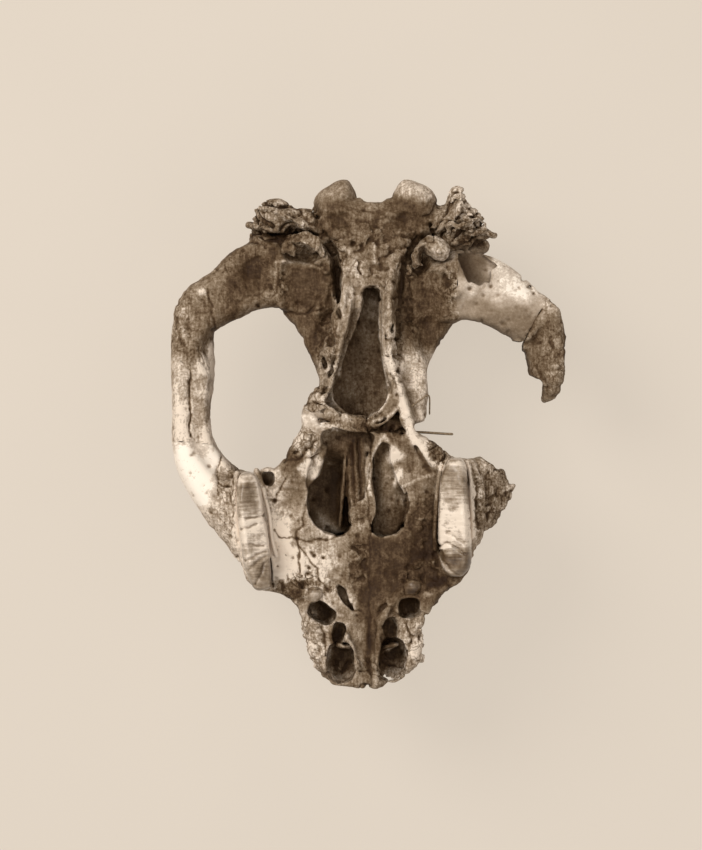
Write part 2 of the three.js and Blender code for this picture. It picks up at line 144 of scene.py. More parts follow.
# ---------------------------------------------------------------- forms
class Rod:
    """A bar of oval section along a curve through rings [x, y, z, across, deep]."""

    def __init__(self, rings, power=2, spans=5, cap=FAR * 99):
        path = spline(rings, spans)
        path[:, 3:] = np.maximum(path[:, 3:], 0.3)
        self.path = path
        self.power = power
        self.cap = cap  # the most that a round end stands out
        reach = path[:, 3:].max(1)[:, None]
        self.low = (path[:, :3] - reach).min(0)
        self.high = (path[:, :3] + reach).max(0)

    def distance(self, axes):
        """The distance to the nearest of the bar's straight spans, each measured only near it."""
        out = np.full([len(a) for a in axes], FAR, np.float32)
        for start, end in zip(self.path, self.path[1:]):
            reach = max(start[3:].max(), end[3:].max()) + FAR
            low = np.minimum(start[:3], end[:3]) - reach
            high = np.maximum(start[:3], end[:3]) + reach
            spot = tuple(
                slice(*np.searchsorted(axis, (a, b))) for axis, a, b in zip(axes, low, high)
            )
            x, y, z = np.ix_(*[axis[s] for axis, s in zip(axes, spot)])
            if 0 in (x.size, y.size, z.size):
                continue
            run = end[:3] - start[:3]
            length = np.linalg.norm(run)
            along = run / length
            side = np.cross((0, 0, 1), along)
            side /= np.linalg.norm(side)
            top = np.cross(along, side)
            x, y, z = x - start[0], y - start[1], z - start[2]
            reached = x * along[0] + y * along[1] + z * along[2]
            t = np.clip(reached / length, 0, 1)
            past = reached - t * length
            across = start[3] + (end[3] - start[3]) * t
            deep = start[4] + (end[4] - start[4]) * t
            offsets = (
                x * side[0] + y * side[1] + z * side[2],
                x * top[0] + y * top[1] + z * top[2],
                past,
            )
            radii = (across, deep, np.minimum(np.minimum(across, deep), self.cap))
            near = power_distance(offsets, radii, self.power)
            out[spot] = np.minimum(out[spot], near)
        return out


class Egg:
    """An ellipsoid, boxier where its power is over 2, turned about Z by some degrees."""

    def __init__(self, centre, radii, turn=0, power=2):
        self.centre = np.array(centre, float)
        self.radii = [float(r) for r in radii]
        self.power = power
        c, s = math.cos(math.radians(turn)), math.sin(math.radians(turn))
        self.frame = np.array([[c, -s, 0], [s, c, 0], [0, 0, 1]])
        reach = np.sqrt((self.frame**2) @ (np.array(self.radii) ** 2)) * (1 if power == 2 else 1.3)
        self.low, self.high = self.centre - reach, self.centre + reach

    def distance(self, axes):
        x, y, z = np.ix_(*axes)
        x, y, z = x - self.centre[0], y - self.centre[1], z - self.centre[2]
        offsets = [x * u + y * v + z * w for u, v, w in self.frame.T]
        return power_distance(offsets, self.radii, self.power).astype(np.float32)


def span_distance(spans, x, y):
    """Distance in the XY plane to the nearest of some straight spans."""
    nearest = np.full(np.broadcast(x, y).shape, 1e9)
    for (ax, ay), (bx, by) in spans:
        ex, ey = bx - ax, by - ay
        t = np.clip(((x - ax) * ex + (y - ay) * ey) / max(ex * ex + ey * ey, TINY), 0, 1)
        nearest = np.minimum(nearest, (x - ax - t * ex) ** 2 + (y - ay - t * ey) ** 2)
    return np.sqrt(nearest)


def path_distance(points, x, y):
    """Distance in the XY plane to an open line."""
    return span_distance(zip(points, points[1:]), x, y)


def outline_distance(points, x, y):
    """Signed distance in the XY plane to a closed outline, negative inside."""
    spans = list(zip(points, np.roll(points, -1, axis=0)))
    inside = np.zeros(np.broadcast(x, y).shape, bool)
    for (ax, ay), (bx, by) in spans:
        crosses = (ay > y) != (by > y)
        inside ^= crosses & (x < (bx - ax) * (y - ay) / (by - ay if by != ay else TINY) + ax)
    return np.where(inside, -1, 1) * span_distance(spans, x, y)


class Sheet:
    """An outline in X and Y between two heights, which may be functions of x and y."""

    def __init__(self, outline, low, high, rounding=2.0, smooth=4, wobble=0.0):
        self.outline = spline(outline, smooth, closed=True) if smooth else np.array(outline)
        self.bottom, self.top = low, high
        self.rounding, self.wobble = rounding, wobble
        xy = self.outline
        self.low = np.array([*xy.min(0), low if np.isscalar(low) else 0.0])
        self.high = np.array([*xy.max(0), high if np.isscalar(high) else TIP])

    def distance(self, axes):
        x, y = np.ix_(*axes[:2])
        z = axes[2][None, None, :]
        rim = outline_distance(self.outline, x, y)
        if self.wobble:
            rim = rim + self.wobble * ripple(x, y)
        bottom = self.bottom if np.isscalar(self.bottom) else self.bottom(x, y)[:, :, None]
        top = self.top if np.isscalar(self.top) else self.top(x, y)[:, :, None]
        flat = np.maximum(z - top, bottom - z)
        return soft_max(rim[:, :, None], flat, self.rounding).astype(np.float32)


def strayed(x, y, amount):
    """Places moved a little this way and that, which makes straight lines ragged."""
    return x + amount * ripple(y, x), y + amount * ripple(x, y)


def ripple(x, y):
    """A wavy number from -1 to 1, for edges that are not quite smooth."""
    wave = np.sin(x * 0.61 + 1.3 * np.sin(y * 0.37)) + np.sin(y * 0.83 + 1.7 * np.sin(x * 0.45))
    fine = np.sin(x * 1.9 + 2.0 * np.sin(y * 1.3)) * np.sin(y * 2.3 + 1.1)
    return 0.35 * wave + 0.3 * fine


# ---------------------------------------------------------------- clay
class Clay:
    """A block of distances that forms are joined to and cut from."""

    @classmethod
    def holding(cls, field, low, step):
        made = cls(low, low, step)
        made.field = field
        return made

    def __init__(self, low, high, step):
        self.low, self.step = np.array(low, float), step
        count = np.ceil((np.array(high) - self.low) / step).astype(int) + 1
        self.axes = [self.low[i] + step * np.arange(count[i]) for i in range(3)]
        self.field = np.full(count, FAR, np.float32)

    def window(self, low, high, reach=FAR):
        spot = tuple(
            slice(*np.searchsorted(axis, (a - reach, b + reach)))
            for axis, a, b in zip(self.axes, low, high)
        )
        return spot, [axis[s] for axis, s in zip(self.axes, spot)]

    def add(self, *forms, blend=2.0):
        for form in forms:
            spot, axes = self.window(form.low, form.high)
            if min(len(a) for a in axes):
                made = soft_min(self.field[spot], form.distance(axes), blend)
                self.field[spot] = np.clip(made, -FAR, FAR)
        return self

    def cut(self, *forms, blend=1.0):
        for form in forms:
            spot, axes = self.window(form.low, form.high)
            if min(len(a) for a in axes):
                made = soft_max(self.field[spot], -form.distance(axes), blend)
                self.field[spot] = np.clip(made, -FAR, FAR)

    def groove(self, line, width=0.7, depth=0.8, above=0.0, ragged=0.5):
        """A crack or a seam pressed into the surface along a line in X and Y."""
        line = np.array(line, float)
        spot, axes = self.window([*line.min(0), above], [*line.max(0), HIGH[2]], 4 * width)
        x, y = np.ix_(*axes[:2])
        push = path_distance(line, *strayed(x, y, ragged))
        press = depth * np.exp(-((push / width) ** 2))
        self.field[spot] += press[:, :, None].astype(np.float32)

    def dimple(self, x, y, size, depth):
        """A small round pit in the side that faces up."""
        self.groove([[x, y], [x + 0.1, y]], width=size, depth=depth, above=FACES_UP, ragged=0)

    def noise(self, spacing, seed):
        """Smooth random numbers about zero, with lumps of about this size in mm."""
        sizes = np.broadcast_to(spacing, 3) / 2
        counts = [int((axis[-1] - axis[0]) / size) + 5 for axis, size in zip(self.axes, sizes)]
        values = np.random.default_rng(seed).standard_normal(counts).astype(np.float32)
        for i in range(3):
            values = 0.5 * values + 0.25 * (np.roll(values, 1, i) + np.roll(values, -1, i))
        for i, (axis, size) in enumerate(zip(self.axes, sizes)):
            place = (axis - axis[0]) / size
            index = place.astype(int)
            t = (place - index).astype(np.float32)
            shape = [-1 if j == i else 1 for j in range(3)]
            total = 0
            for shift, share in enumerate(spline_shares(t)):
                total = total + values.take(index + shift, i) * share.reshape(shape)
            values = total
        return NOISE_LEVEL * values

    def noises(self, seed, *rows):
        """Noises added together, each row its share and the size of its lumps."""
        return sum(share * self.noise(size, seed + i) for i, (share, size) in enumerate(rows))

    def sample(self, field, points):
        """The field's values at points, blended between the eight nearest."""
        place = (points - self.low) / self.step
        place = np.clip(place, 0, np.array(field.shape) - 1.001)
        index = place.astype(int)
        t = place - index
        total = np.zeros(len(points), np.float32)
        for corner in np.ndindex(2, 2, 2):
            weight = np.prod(np.where(corner, t, 1 - t), axis=1)
            i, j, k = (index + corner).T
            total += weight * field[i, j, k]
        return total


def box_blur(field, cells):
    """The mean over a cube of 2 * cells + 1 cells a side."""
    made = field
    for axis in range(3):
        pad = [(cells + 1, cells) if i == axis else (0, 0) for i in range(3)]
        total = np.cumsum(np.pad(made, pad, mode="edge"), axis=axis, dtype=np.float32)
        size = 2 * cells + 1
        count = made.shape[axis]
        ahead = total.take(range(size, size + count), axis)
        made = (ahead - total.take(range(count), axis)) / size
    return made


# ---------------------------------------------------------------- braincase
VAULT = [
    [2.5, 101, 42.5, 26, 26],
    [2, 96, 42, 34, 33],
    [1, 82, 41, 41, 36],
    [0, 62, 40, 39, 36],
    [1, 42, 39, 31, 35],
    [1, 24, 37, 26.5, 33],
    [0.5, 4, 37, 27, 32],
]
SAGITTAL_CREST = [[1, 98, 9, 3, 8], [0, 60, 6.5, 2.4, 6], [0, 22, 8.5, 8, 7.5]]
NAPE_CREST = [
    [-47, 90, 56, 5, 9],
    [-39, 92, 34, 4.5, 9],
    [-21, 97, 10.5, 5, 9],
    [1, 99.5, 5, 5, 6.5],
    [23, 97, 10.5, 5, 9],
    [41, 92, 34, 4.5, 9],
    [49, 90, 56, 5, 9],
]
BASE_PLATE = [
    [3, 105, 64, 14, 8],
    [3, 101, BASE - 9, 27, 8],
    [2, 90, BASE - 8, 22, 8],
    [1, 76, BASE - 7, 15, 8],
    [0, 62, BASE - 7, 11, 8],
]
ALISPHENOID_LEFT = [
    [-29, 61, 64, 14, 9],
    [-25, 48, 64, 10, 9],
    [-21.5, 36, 66, 7.5, 9],
    [-20.5, 24, 68, 4, 8],
]
ALISPHENOID_RIGHT = [
    [30, 60, 61, 15, 8],
    [27, 46, 61, 8.5, 9],
    [24, 34, 63, 5, 9],
    [23.5, 22, 66, 4.5, 8],
    [22, 8, 68, 4.3, 8],
    [22, -2, 70, 4, 8],
]
ORBIT_WALL_RIGHT = [
    [19, 46, 70, 9, 6],
    [19, 34, 73, 8.5, 6],
    [20, 22, 76, 8, 6],
    [21, 10, 78, 6, 6],
    [23, 0, 80, 5, 6],
]
# deep clefts between the base plate and the side walls
CLEFT_LEFT = [
    [-24, 96, 76, 1, 3],
    [-20.3, 90.9, 75, 1.8, 5],
    [-16.6, 84.4, 74, 1.9, 8],
    [-15.4, 76.8, 74, 2, 9],
    [-14.8, 69, 74, 1.8, 9],
    [-14, 61, 75, 1, 6],
]
CLEFT_RIGHT = [
    [31, 93.5, 76, 1.4, 3],
    [25, 90, 76, 1.7, 4],
    [19.4, 84.6, 76, 1.7, 4.4],
    [16.8, 79, 76, 1.8, 4.4],
    [15.6, 71, 76, 1.7, 4.4],
    [14.8, 62, 76, 1.5, 4.4],
    [14, 53, 77, 1.2, 4.4],
    [13.4, 45, 79, 0.9, 4],
]


def braincase(clay):
    clay.add(Rod(VAULT, spans=8, cap=3), Rod(BASE_PLATE, 3, cap=3), blend=5)
    clay.add(Rod(SAGITTAL_CREST), Rod(NAPE_CREST), blend=7)
    clay.add(Rod(ALISPHENOID_LEFT), Rod(ALISPHENOID_RIGHT), blend=4)
    clay.add(Rod(ORBIT_WALL_RIGHT, 3), blend=3)
    # hollows for the neck muscles, and the pits under the condyles
    for side in (-1, 1):
        clay.cut(Egg([side * 20, 112, 26], [15, 8, 17], side * -18), blend=6)
    clay.cut(Egg([-16.5, 101.4, BASE + 2], [9, 4.6, 6], -24), blend=3)
    clay.cut(Egg([19.5, 101.6, BASE + 2], [9.4, 5, 6.4], 22), blend=3)
    # the notch between the condyles, and one beside each
    clay.cut(Egg([2.5, 118, 62], [11, 9.6, 30]), blend=2)
    clay.cut(Egg([29.5, 106, 73], [3, 4.5, 8]), blend=1)
    clay.cut(Egg([-25.4, 106, 70], [2.6, 5, 14], 12), blend=1)
    # keel and ridges of the base
    clay.add(Rod([[2, 95, 76, 1, 1.4], [2.3, 88, 77.6, 0.8, 1.6], [2.6, 80, 77.2, 0.8, 1.4]]),
             blend=1.6)
    clay.add(Rod([[-15, 93, 74.5, 1.4, 2], [-11.6, 87, 76.4, 1.4, 2.2], [-7.6, 82, 77.2, 2, 2.4],
                  [-6.4, 73, 77, 2.4, 2.2]]), blend=2.5)
    clay.add(Rod([[17, 93, 74.5, 1.4, 2], [13, 84, 76, 1, 1.8], [12.4, 72, 76.2, 1, 1.8]]), blend=2)
    clay.add(Egg([4, 93.5, 76.6], [5, 2.2, 1.8]), blend=2)


def condyles(clay):
    clay.add(Rod([[-17, 101, 60, 5, 9], [3, 99, 63, 8, 9], [27, 101.4, 61, 6, 10]]), blend=3)
    left = Rod([[-18, 107.6, 50, 5, 6], [-16.6, 109, 60, 7, 11], [-15.4, 109.2, 66, 7, 7.5]])
    right = Rod([[27, 107.4, 50, 6, 6], [22.5, 109, 60, 9, 10.6], [20, 109.2, 66, 9, 8]])
    clay.add(left, right, blend=2.5)
    clay.add(Egg([-12.8, 110.2, 61], [5.6, 10.2, 13], -8), Egg([-17, 109, 60], [6.6, 9.8, 14], -26),
             Egg([19, 110.2, 61], [6, 10.2, 13], 8), Egg([24.4, 108.6, 60], [6.8, 9.4, 14], 32),
             blend=3)
    # the lips of the joint surfaces, toward the base
    clay.add(Rod([[-22.8, 107.6, 64, 1.4, 3], [-19, 105, 71, 1.6, 2.4], [-11, 105.6, 72, 1.6, 2.4],
                  [-6, 108.5, 67, 1.6, 3]]), blend=2)
    clay.add(Rod([[31, 107, 64, 1.5, 3], [26, 104.6, 71, 1.6, 2.4], [16, 105.4, 72, 1.6, 2.4],
                  [11, 108.5, 67, 1.6, 3]]), blend=2)


# ---------------------------------------------------------------- ear region
MASTOID_CORES = [
    [[-42.5, 102.4, 66], [12.4, 8, 11], -10],
    [[-31, 100, 64], [8.6, 6.4, 11], -32],
    [[-50.6, 98.4, 65], [5.4, 3.8, 7], 6],
    [[-38, 92, 56], [13, 7, 15], 0],
    [[-50, 90, 61], [7, 6.4, 9], 0],
    [[-50, 93.6, 61], [6, 3.4, 8], 0],
    [[45, 100.6, 65], [9.6, 7.4, 11.6], -6],
    [[36, 100, 64], [7.5, 7, 11], 12],
    [[52, 95.6, 66], [6.4, 5, 8], -12],
    [[41, 92, 56], [13, 7, 15], 0],
]
HORN = [
    [40.4, 98, 62, 9, 11],
    [41, 104.6, 64, 7.2, 11],
    [41.3, 109.6, 65.6, 5.1, 9],
    [41.8, 113.2, 65, 3.5, 6.4],
]
# ridges and spurs of the crumpled bone behind the ears
MASTOID_FOLDS = [
    [[-52, 106, 70, 2, 4], [-45, 106.4, 75, 2, 4], [-38, 101.8, 76, 2, 4], [-31, 97.4, 74, 2, 4],
     [-24, 95.6, 71, 1.4, 3]],
    [[-57.4, 98, 69, 1.2, 2], [-51, 97.4, 73, 2, 4], [-44, 95.4, 73, 2, 4],
     [-36, 93.4, 71, 1.6, 3]],
    [[33, 96, 70, 1.6, 3], [39.6, 100, 75, 2, 4], [42.4, 106, 75, 2, 4], [43.2, 113, 70, 2, 4]],
    [[36, 94, 70, 1.6, 3], [44, 97.4, 76, 2, 4], [51, 101, 73, 2.2, 4], [54.6, 99, 70, 1.6, 3]],
    [[46, 95.4, 71, 2, 4], [53, 94.6, 72, 2, 4], [58.6, 93.4, 70, 1.6, 3]],
]


def mastoids(clay):
    clay.add(*[Egg(centre, radii, turn) for centre, radii, turn in MASTOID_CORES], blend=2)
    clay.add(Rod(HORN), *[Rod(rings) for rings in MASTOID_FOLDS], blend=1.6)


def cleft_plates(clay):
    """Thin broken plates that stand in the clefts."""
    for x, y, z in ((-18.4, 73, 66), (-17.2, 64, 68), (-22, 84, 66), (18, 66, 66), (20, 76, 66)):
        back, front = [x - 0.6, y + 4, z, 0.6, 5], [x + 0.8, y - 4, z, 0.6, 5]
        clay.add(Rod([back, [x, y, z + 2, 0.8, 6], front]), blend=0.8)


def ear_pits(clay):
    """The hollows that the swollen rims of the ears lie in."""
    clay.cut(Egg([-31, 87, 76], [10, 7.6, 9]), Egg([31, 87.5, 77], [10, 7.4, 9], -20), blend=2)
    clay.cut(Egg([24, 83, 76], [6, 9, 7], -15), blend=2)


# ---------------------------------------------------------------- cheek arches
SQUAMOSAL_LEFT = [
    [-22, 75, ARCH, 16, 10],
    [-42, 75, ARCH, 17, 11],
    [-55.6, 72.8, ARCH - 1, 16, 12],
    [-66.6, 65.8, ARCH - 2, 12.8, 13],
    [-78.5, 59, ARCH - 2, 12, 14],
    [-84, 48, ARCH - 1, 9.2, 15],
    [-86.2, 38.5, ARCH, 7.4, 15],
    [-85.5, 29, ARCH + 1, 7.4, 14],
]
JUGAL_LEFT_OUTER = [
    [-88, 38, ARCH, 4.9, 14],
    [-88.2, 27, ARCH + 1, 4.9, 17],
    [-87.8, 10, ARCH + 2, 5, 19],
    [-87, -4, ARCH + 3, 5.4, 20],
    [-83.6, -14, ARCH + 4, 6.8, 21],
    [-77, -24, ARCH + 6, 8.6, 21.5],
    [-68, -34, ARCH + 8, 10.5, 21],
    [-56, -46, ARCH + 9, 13, 20],
]
JUGAL_LEFT_INNER = [
    [-84, 38, 62, 5, 14],
    [-80.4, 24, 67, 6.4, 14.6],
    [-80.4, 10, 68, 6.4, 15.6],
    [-79, -4, 69, 6.8, 16],
    [-73, -15, 68, 7.4, 17],
    [-64, -25, 70, 9, 18],
    [-55, -33, 72, 11, 18],
]
ARCH_RIGHT = [
    [22, 69, ARCH, 18, 10],
    [38, 69.5, ARCH, 17, 11],
    [52, 68, ARCH - 1, 16.6, 12],
    [64, 62, ARCH - 2, 15, 13],
    [74, 55.4, ARCH - 2, 12.4, 14],
    [80, 49, ARCH - 1, 9.6, 14],
]
# broken end of the right arch, and of the jaw's root in front of it
HOOK_RIGHT = [
    [80, 64], [85.5, 62.4], [89.3, 58.8], [91.2, 54], [92, 46], [92.2, 36], [91.8, 26], [88.8, 18],
    [84.6, 14.6], [82, 16.8], [82, 24.4], [76.4, 27.6], [74.8, 34], [73.6, 38], [69, 42], [72, 54],
]
STUMP_RIGHT = [
    [40, -10], [47.5, -12.4], [52, -10.4], [55.5, -12.8], [60, -17], [63.6, -17.4], [65.8, -23.6],
    [68.2, -24.4], [67.6, -27.4], [66, -31.6], [61.6, -38.4], [57.4, -44], [52.6, -46],
    [49.4, -51], [40, -58],
]
BASE_HOLLOW_LEFT = [[-40, 79], [-26, 79.4], [-22, 70], [-25, 62], [-35, 59]]


def hook_height(x, y):
    """The broken arch is thickest along its outer side."""
    return 80 - 7 * ramp(82 - x, -6, 8) - 5 * ramp(24 - y, 0, 9)


def stump_height(x, y):
    return 91 - 9 * ramp(x, 52, 69)


def cheeks(clay):
    clay.add(Rod(SQUAMOSAL_LEFT, 3, cap=3), Rod(ARCH_RIGHT, 3, cap=3), blend=4)
    clay.add(Sheet(HOOK_RIGHT, 50, hook_height, 5, wobble=0.5), blend=3)
    clay.add(Rod(JUGAL_LEFT_OUTER, 3), blend=3)
    clay.add(Rod(JUGAL_LEFT_INNER, 3), blend=5)
    clay.add(Sheet(STUMP_RIGHT, 50, stump_height, 4, smooth=3, wobble=0.5), blend=2)
    # the process of the jugal behind the eye, and the plate over it
    clay.add(Egg([-76.5, 22, 52], [3.6, 12, 17], 6), Egg([-75, 32, 56], [3.2, 8, 10], 0), blend=2)
    clay.add(Egg([-77, 40, 58], [4.4, 8, 12], 8), blend=3)
    # jaw joints: a hollow each, with a lip behind and a ridge on the inner side
    clay.cut(Egg([-54, 78, ARCH + 20], [15, 12, 13.4], -24), blend=5)
    clay.cut(Egg([-69, 66, ARCH + 21], [13, 9, 11], -45), blend=5)
    clay.cut(Egg([50, 62, ARCH + 20], [14, 9, 12], 20), blend=4)
    ridge = [[-42, 82, 75, 1.6, 2.4], [-42.8, 71, 75.6, 1.8, 2.2], [-41.6, 60, 73.4, 1.6, 2.4]]
    rim = [[-41.5, 80.6, 76, 1.1, 1.8], [-33, 81.4, 76.6, 1.2, 1.8], [-24, 80, 76, 1.2, 1.8]]
    rim_right = [[19, 76, 75.4, 1.4, 2], [28, 77.6, 76.6, 1.5, 2], [37, 75.6, 76.4, 1.4, 2]]
    clay.add(Rod(ridge), Rod(rim), Rod(rim_right), blend=2)
    clay.cut(Sheet(BASE_HOLLOW_LEFT, 74, 90, 4, wobble=0.9), blend=3)
    clay.cut(Egg([27, 60, 86], [12, 17, 14], -12), blend=5)
    clay.cut(Egg([28, 46, 80], [7, 12, 11], 8), blend=5)
    # crumbled ridge between the right ear and joint
    crumbs = [33, 77.4, 1.6], [37, 76.4, 1.8], [39, 73, 1.6], [40, 69, 1.8], [41, 65, 1.6]
    for x, y, size in crumbs:
        clay.add(Egg([x, y, 76], [size, size * 1.4, 2.2], x * 7), blend=1)
    # flat upper edge of the left arch
    clay.cut(Egg([-84, 56, 93], [7, 14, 15], 32), blend=4)


# ---------------------------------------------------------------- face
BROW = [
    [0, 22, 17, 22, 12],
    [0, 6, 15, 31, 13],
    [0, -10, 14, 37, 14],
    [0, -28, 16, 35, 16],
    [0, -50, 24, 31, 18],
    [0, -70, 33, 27, 17],
    [0, -90, 43, 23, 14],
    [0, -104, 49, 19, 11],
]
WALLS = [
    [1.5, 18, 48, 26, 32],
    [1, -4, 48, 26, 34],
    [-1, -24, 50, 28, 36],
    [-2, -48, 54, 34, 36],
    [-2, -70, 59, 33, 32],
    [-1.5, -88, 63, 27, 26],
    [-1.5, -104, 67, 24.5, 21],
    [-1.5, -112.5, 72, 16.5, 15],
]
JAWS = [
    [-4, -16, 79, 42, 10],
    [-5, -24, 78, 49, 13],
    [-5.5, -40, 77, 53, 16],
    [-5.5, -56, 76, 52, 17],
    [-5, -66, 75, 46, 17.5],
    [-3.4, -73, 75, 38, 17.5],
    [-2.6, -80, 75, 31, 17.5],
    [-2.6, -90, 75, 26.6, 17.5],
    [-1.8, -103, 75, 25.6, 17],
    [-1.4, -110, 76, 19.5, 16],
]
PALATE_OUTLINE = [
    [-66, -39], [-63.9, -49.4], [-59.8, -58], [-57.6, -66.7], [-54, -71.3], [-48.5, -74],
    [-42, -74.6], [-36, -78.6], [-31.6, -84.6], [-29.2, -95], [-27.6, -104], [-21.8, -110.3],
    [-15.2, -116.4], [-8.9, -118.8], [-3.2, -119.2], [-0.8, -117.6], [2, -119.3], [8.9, -117.2],
    [15, -114], [21.4, -108.1], [24.3, -101.5], [23.7, -95], [25.2, -87.3], [31.2, -78.5],
    [36, -73.4], [42, -70], [46.6, -63], [48, -53], [51.6, -46], [55, -30], [49, -13], [43, -11.6],
    [37.6, -11.4], [35.4, -8], [32, -4.6], [27, -1.6], [20, 0.5], [8, 0], [-10, 2.6], [-22, 4],
    [-32, 3], [-34.6, -2.4], [-39.6, -12], [-46.5, -17.8], [-54.5, -18], [-62, -19], [-67, -28],
]


def palate_height(x, y):
    """The palate rises to the rims of the tooth sockets."""
    rim = -outline_distance(spline(PALATE_OUTLINE, 2, closed=True), x, y)
    rise = (GUM - PALATE) * (1 - ramp(rim, 3, 17))
    behind = 2.5 * ramp(y, -30, 0)
    return PALATE + rise - behind


def face(clay):
    clay.add(Rod(BROW, 3, cap=4), Rod(WALLS, 3, cap=4), blend=5)
    clay.add(Rod(JAWS, 3, cap=1.5), blend=4)
    # processes behind the eyes, and two swellings of the brow
    for side in (-1, 1):
        clay.add(Egg([side * 34, -5, 22], [7, 8, 12], side * 25), blend=4)
        clay.add(Egg([side * 21, -14, 5], [10, 12, 6.5]), blend=3)
    # the shallow vault of the palate
    clay.cut(Egg([-5, -46, PALATE + 14], [34, 48, 14]), blend=4)
    clay.add(Sheet(PALATE_OUTLINE, 80, palate_height, 2.5, wobble=0.25), blend=3)
    # the sweep of the outline from the left premolar in to the snout
    clay.cut(Egg([-46, -86, 78], [13.5, 11.5, 60]), blend=2)
    for side in (-1, 1):
        # eye sockets, and the holes for nerves of the face in front of them
        clay.cut(Egg([side * 47, -10, 43], [19, 20, 24], side * 10), blend=3)
        clay.cut(Egg([side * 40 - 2, -47, 62], [6, 3.4, 4.6], side * -35), blend=1.5)
        clay.cut(Egg([side * 30 - 1, -84, 66], [9, 14, 12], side * 12), blend=5)
    # faint temporal lines, from the brows back to the crest
    for side in (-1, 1):
        line = [[side * 27, -4, 3.5, 2, 2], [side * 17, 14, 1.5, 2, 2], [side * 5, 34, 1.5, 1.6, 2]]
        clay.add(Rod(line), blend=2.5)


# ---------------------------------------------------------------- throat
CREST_LEFT = [
    [-11, 80, 72, 2.6, 5],
    [-11.3, 69, 74, 3.2, 7],
    [-12.6, 60, 75, 3.6, 9],
    [-14.6, 49, 75.5, 4, 10],
    [-18.4, 38, 76, 4.4, 11],
    [-21, 29, 77, 4, 10],
    [-23.6, 20, 79, 4.4, 9],
    [-27, 12.5, 82, 4.4, 7],
    [-28.5, 5, 84, 4.2, 7],
    [-31, -3, 83, 4.6, 8],
    [-40, -17, 82, 7, 9],
]
RIM_LEFT = [
    [-8.4, 66, 77, 1.1, 2.4],
    [-9.6, 56, 80, 1.2, 3],
    [-12, 46, 82, 1, 3],
    [-14.4, 37, 83, 1, 3],
    [-16.6, 28, 84, 1, 3],
    [-19, 20, 85.4, 1.2, 3],
    [-22.6, 15, 87, 1.4, 2.4],
]
CREST_RIGHT = [
    [11.4, 84, 72, 2.6, 6],
    [9.8, 68, 75, 3, 9],
    [9.4, 54, 76, 3, 12],
    [9.6, 42, 77, 2.8, 12],
    [11.2, 31, 78.5, 2.6, 12],
    [14.4, 20, 80, 2.8, 12],
    [18.2, 9, 81.5, 2.8, 10],
    [22.6, -2, 83, 3, 9],
    [29, -11, 84, 3, 9],
    [35, -16, 83, 3, 8],
]
RIM_RIGHT = [
    [7, 66, 79, 1.1, 2.6],
    [6.8, 54, 81, 1.2, 3],
    [7, 42, 83, 1, 3],
    [8.4, 32, 84.4, 1.1, 3],
    [11, 23, 85.6, 1.1, 3],
    [14.4, 14, 86.4, 1.2, 2.6],
    [18, 5.4, 87.6, 1.3, 2.4],
    [22, -3, 89, 1.4, 2.2],
    [28, -10.4, 91, 1.6, 2],
    [34, -14.4, 92, 1.6, 1.8],
]
BRIDGE = [
    [-26, 12, 84.5, 3.4, 4.5],
    [-20.7, 8.8, 85.4, 3.8, 4.5],
    [-13.6, 6.2, 86, 3.6, 4.5],
    [-6.6, 4.3, 86, 3.4, 4],
    [0, 4.2, 86, 3, 4],
    [4.4, 6.4, 86, 2.8, 4],
    [8, 10, 86, 2.5, 4],
    [10.4, 14, 85.6, 2.3, 4],
    [12, 18.4, 85, 2.2, 4.5],
]
BRIDGE_UPPER_RIM = [
    [-21, 12.6, 88.5, 1, 1.2], [-15, 9.4, 89.4, 1.2, 1.2], [-8, 7.2, 89.6, 1, 1],
    [-1, 6.6, 89.2, 0.9, 1], [4, 9.4, 89, 0.9, 1.2], [7.4, 13.4, 88.6, 0.9, 1.2],
    [9.4, 18, 88, 0.8, 1.2],
]
BRIDGE_LOWER_RIM = [
    [-22, 5, 88.6, 1.4, 1.2], [-14, 3.4, 89.2, 1, 1.2], [-3, 2.4, 89.2, 0.9, 1.2],
    [3.6, 3.8, 89.2, 0.9, 1.2], [8.6, 6.6, 89, 0.9, 1.2], [12, 11, 88.8, 0.9, 1.2],
]
PLASTER_STRAP = [[-31.6, 8, 86, 2.2, 4], [-26.5, 6.4, 88.6, 2.4, 2.6], [-23.6, 1.5, 88, 1.6, 2.4]]
PLASTER_WEDGE = [
    [17, 7, 90, 2.6, 3], [22, -3, 91.4, 3.2, 2.6], [28, -11, 91.6, 3, 2.6],
    [34.5, -16.5, 91, 1.6, 2.2],
]
VOMER = [
    [-5, 3, 67, 5.4, 13],
    [-5.4, -10, 68, 5.3, 13.4],
    [-5.6, -22, 70, 5.2, 14],
    [-5.2, -33, 72, 4.8, 17],
    [-4.6, -44, 72, 4.4, 18],
    [-4, -66, 60, 2.4, 24],
]


def throat_walls(clay):
    for rings in (CREST_LEFT, CREST_RIGHT, BRIDGE):
        clay.add(Rod(rings), blend=2)
    clay.add(Rod(RIM_LEFT), Rod(RIM_RIGHT), blend=2.4)
    # pits and notches beside the rims
    for x, y, wide, long in ((-18.6, 44, 1.8, 4), (-21, 33, 1.4, 3), (-14, 56, 1.2, 3),
                             (12, 38, 1.8, 4), (10.8, 49, 1.1, 3), (13.4, 29.5, 1, 2.4)):
        clay.cut(Egg([x, y, 85], [wide, long, 6], -x), blend=1.2)
    # bone under the right end of the bridge
    clay.add(Egg([11.6, 3.6, 75.6], [8, 6.4, 10.6]), blend=2)
    for rings in (BRIDGE_UPPER_RIM, BRIDGE_LOWER_RIM, PLASTER_STRAP, PLASTER_WEDGE):
        clay.add(Rod(rings), blend=1)


